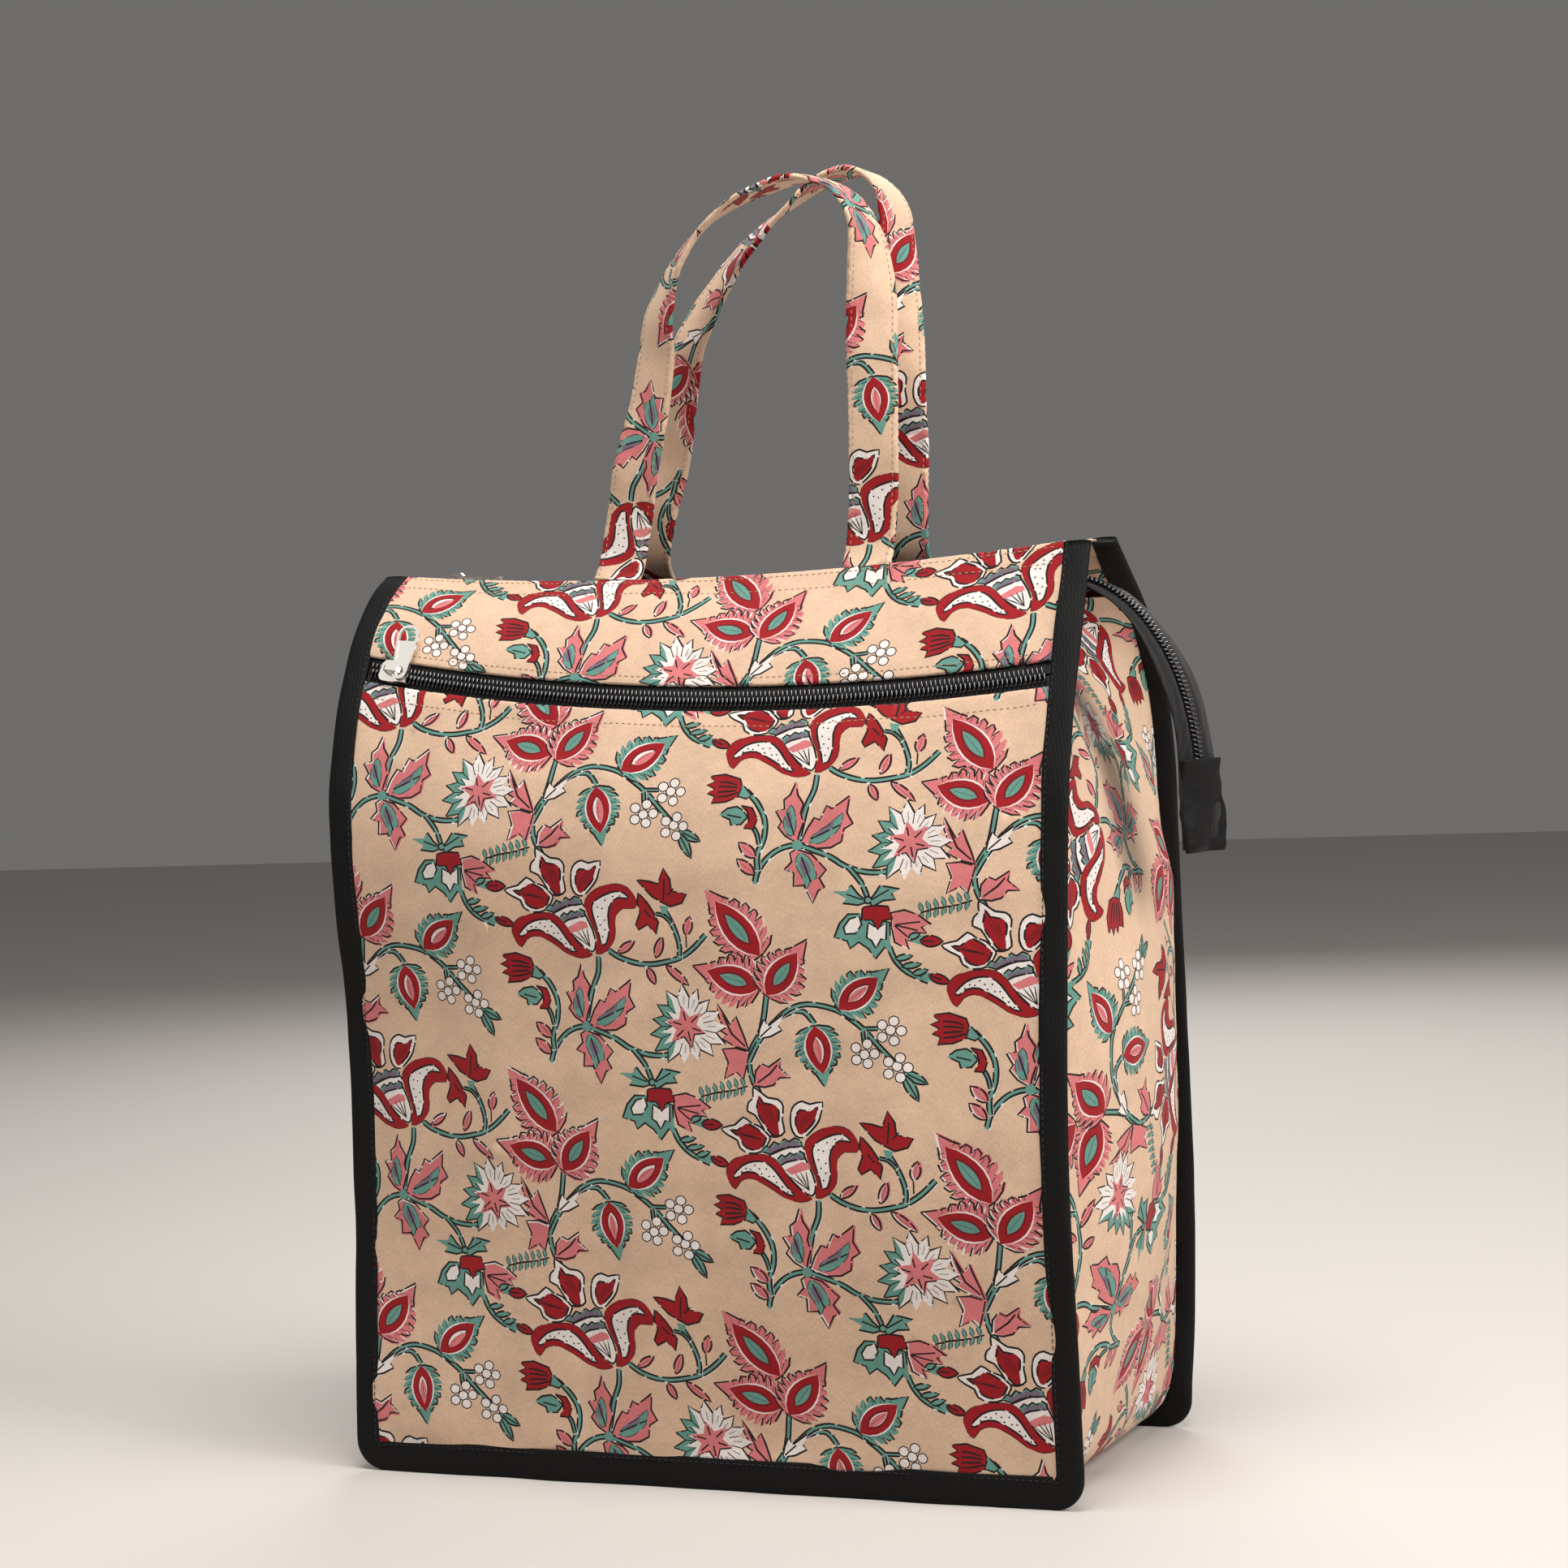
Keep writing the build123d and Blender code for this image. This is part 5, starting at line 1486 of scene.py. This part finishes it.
def end_tab_piece():
    """Crumpled black cloth folded round the end of the tail."""
    crumple = ripples(61, count=7, longest=42, shortest=9, height=0.8)
    sections = []
    spot, way, cross, up = top_frames[-1]
    turns = np.linspace(0, 2 * np.pi, tab_corners, endpoint=False)
    for share in np.linspace(0, 1, tab_rows):
        along = blend(-tab_length, tab_past_end, share)
        pinch = 1 - 0.10 * math.sin(np.pi * share) - 0.55 * float(ease((share - 0.93) / 0.07))
        half = tab_half * (1 - 0.06 * math.sin(2.2 * np.pi * share))
        across = half * np.sign(np.cos(turns)) * np.abs(np.cos(turns))**0.6
        off = tab_thickness / 2 * pinch * np.sign(np.sin(turns)) * np.abs(np.sin(turns))**0.7
        bend = crumple(np.full(tab_corners, along), across) + 0.6 * np.sin(across / 5 + share * 4)
        skew = 1.6 * math.sin(share * 3.0)
        sections.append(spot + way * along + np.outer(across + skew, cross) + np.outer(off + bend, up))
    points, faces = tube(sections)
    piece = new_mesh("top_zip_end_tab_cloth", points, faces)
    piece.data.materials.append(black_binding)
    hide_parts("top_zip_end_tab")
    return piece


front_frames, top_frames = front_coil_frames(), top_zip_frames()
coil_frames = top_frames[:-int(tab_length / coil_pitch)]
coil_piece("front_upper_coil_loops", "front_zip_upper_coil", front_frames, side=1, shift=0)
coil_piece("front_lower_coil_loops", "front_zip_lower_coil", front_frames, side=-1, shift=1)
coil_piece("top_front_coil_loops", "top_zip_front_coil", coil_frames, side=-1, shift=0)
coil_piece("top_back_coil_loops", "top_zip_back_coil", coil_frames, side=1, shift=1)
top_tape_piece("top_front_tape_weave", "top_zip_front_tape", -1, yoke_line)
top_tape_piece("top_back_tape_weave", "top_zip_back_tape", 1, back_line)
end_tab_piece()


# Pieces kept from the CAD, with their materials
metal_bevel, bevel_angle = 0.22, 35


def dress(node, made, bevel=0.0):
    """Material, and rounded edges if asked for, on a CAD piece."""
    piece = bpy.data.objects[node]
    piece.data.materials.clear()
    piece.data.materials.append(made)
    if bevel:
        soften = piece.modifiers.new("edges", "BEVEL")
        soften.width = bevel * mm
        soften.segments = 2
        soften.limit_method = "ANGLE"
        soften.angle_limit = math.radians(bevel_angle)
    return piece


for node in ("front_zip_upper_tape", "front_zip_lower_tape"):
    dress(node, zip_tape)
dress("pocket_lining", lining_cotton)
for node in ("front_zip_slider", "front_zip_pull", "top_zip_slider", "top_zip_pull"):
    dress(node, nickel, metal_bevel)


# Floor, light and camera
floor_reach, floor_colour = 6.0, (0.60, 0.57, 0.54, 1)
floor_material, _, _, floor_shader = material("studio_floor")
tune(floor_shader, {"Base Color": floor_colour, "Roughness": 0.8})
floor_corners = [(x * floor_reach, y * floor_reach, 0) for x, y in ((-1, -1), (1, -1), (1, 1), (-1, 1))]
floor_mesh = bpy.data.meshes.new("studio_floor")
floor_mesh.from_pydata(floor_corners, [], [(0, 1, 2, 3)])
floor = bpy.data.objects.new("studio_floor", floor_mesh)
bpy.context.scene.collection.objects.link(floor)
floor.data.materials.append(floor_material)

lamp_colour, rear_colour = (1.0, 0.97, 0.94), (1.0, 0.98, 0.96)
world_colour, world_strength = (0.86, 0.84, 0.82, 1), 0.18


def area_light(name, place, target, size, power, colour):
    """Soft rectangular lamp aimed at a point."""
    data = bpy.data.lights.new(name, "AREA")
    data.size = size
    data.energy = power
    data.color = colour
    lamp = bpy.data.objects.new(name, data)
    bpy.context.scene.collection.objects.link(lamp)
    lamp.location = place
    lamp.rotation_euler = (Vector(target) - Vector(place)).to_track_quat("-Z", "Y").to_euler()
    return lamp


area_light("top", (0.2, -0.48, 1.8), (0, -0.05, 0.3), size=0.9, power=27, colour=lamp_colour)
area_light("side", (1.8, -0.3, 1.35), (0.1, 0, 0.25), size=1.1, power=34, colour=lamp_colour)
area_light("fill", (-0.95, -0.88, 1.5), (-0.15, -0.07, 0.37), size=1.0, power=2.4, colour=lamp_colour)
area_light("rear", (-0.5, 1.9, 1.5), (0, 0, 0.3), size=1.3, power=24, colour=rear_colour)
world = bpy.data.worlds.new("studio")
bpy.context.scene.world = world
world.use_nodes = True
tune(world.node_tree.nodes["Background"], {"Color": world_colour, "Strength": world_strength})

view_azimuth, view_elevation, view_roll = 23.4, 1.3, 2.52
view_distance, view_target = 1523.0, np.array([18.6, 0.0, 314.3])
view_focal_share, view_sensor = 4000 / 1932, 36


def place_camera():
    """Camera at the photograph's viewing angle."""
    a, e, r = (math.radians(v) for v in (view_azimuth, view_elevation, view_roll))
    back = np.array([math.sin(a) * math.cos(e), -math.cos(a) * math.cos(e), math.sin(e)])
    right = np.array([math.cos(a), math.sin(a), 0])
    up = np.cross(back, right)
    data = bpy.data.cameras.new("camera")
    data.sensor_width = view_sensor
    data.lens = view_sensor * view_focal_share
    camera = bpy.data.objects.new("camera", data)
    bpy.context.scene.collection.objects.link(camera)
    level, lifted = right * math.cos(r) - up * math.sin(r), right * math.sin(r) + up * math.cos(r)
    axes = np.stack([level, lifted, back], axis=1)
    turn = Matrix([[float(v) for v in row] for row in axes])
    place = Vector((view_target + back * view_distance) * mm)
    camera.matrix_world = Matrix.Translation(place) @ turn.to_4x4()
    bpy.context.scene.camera = camera


place_camera()
bpy.context.scene.view_settings.view_transform = "Standard"
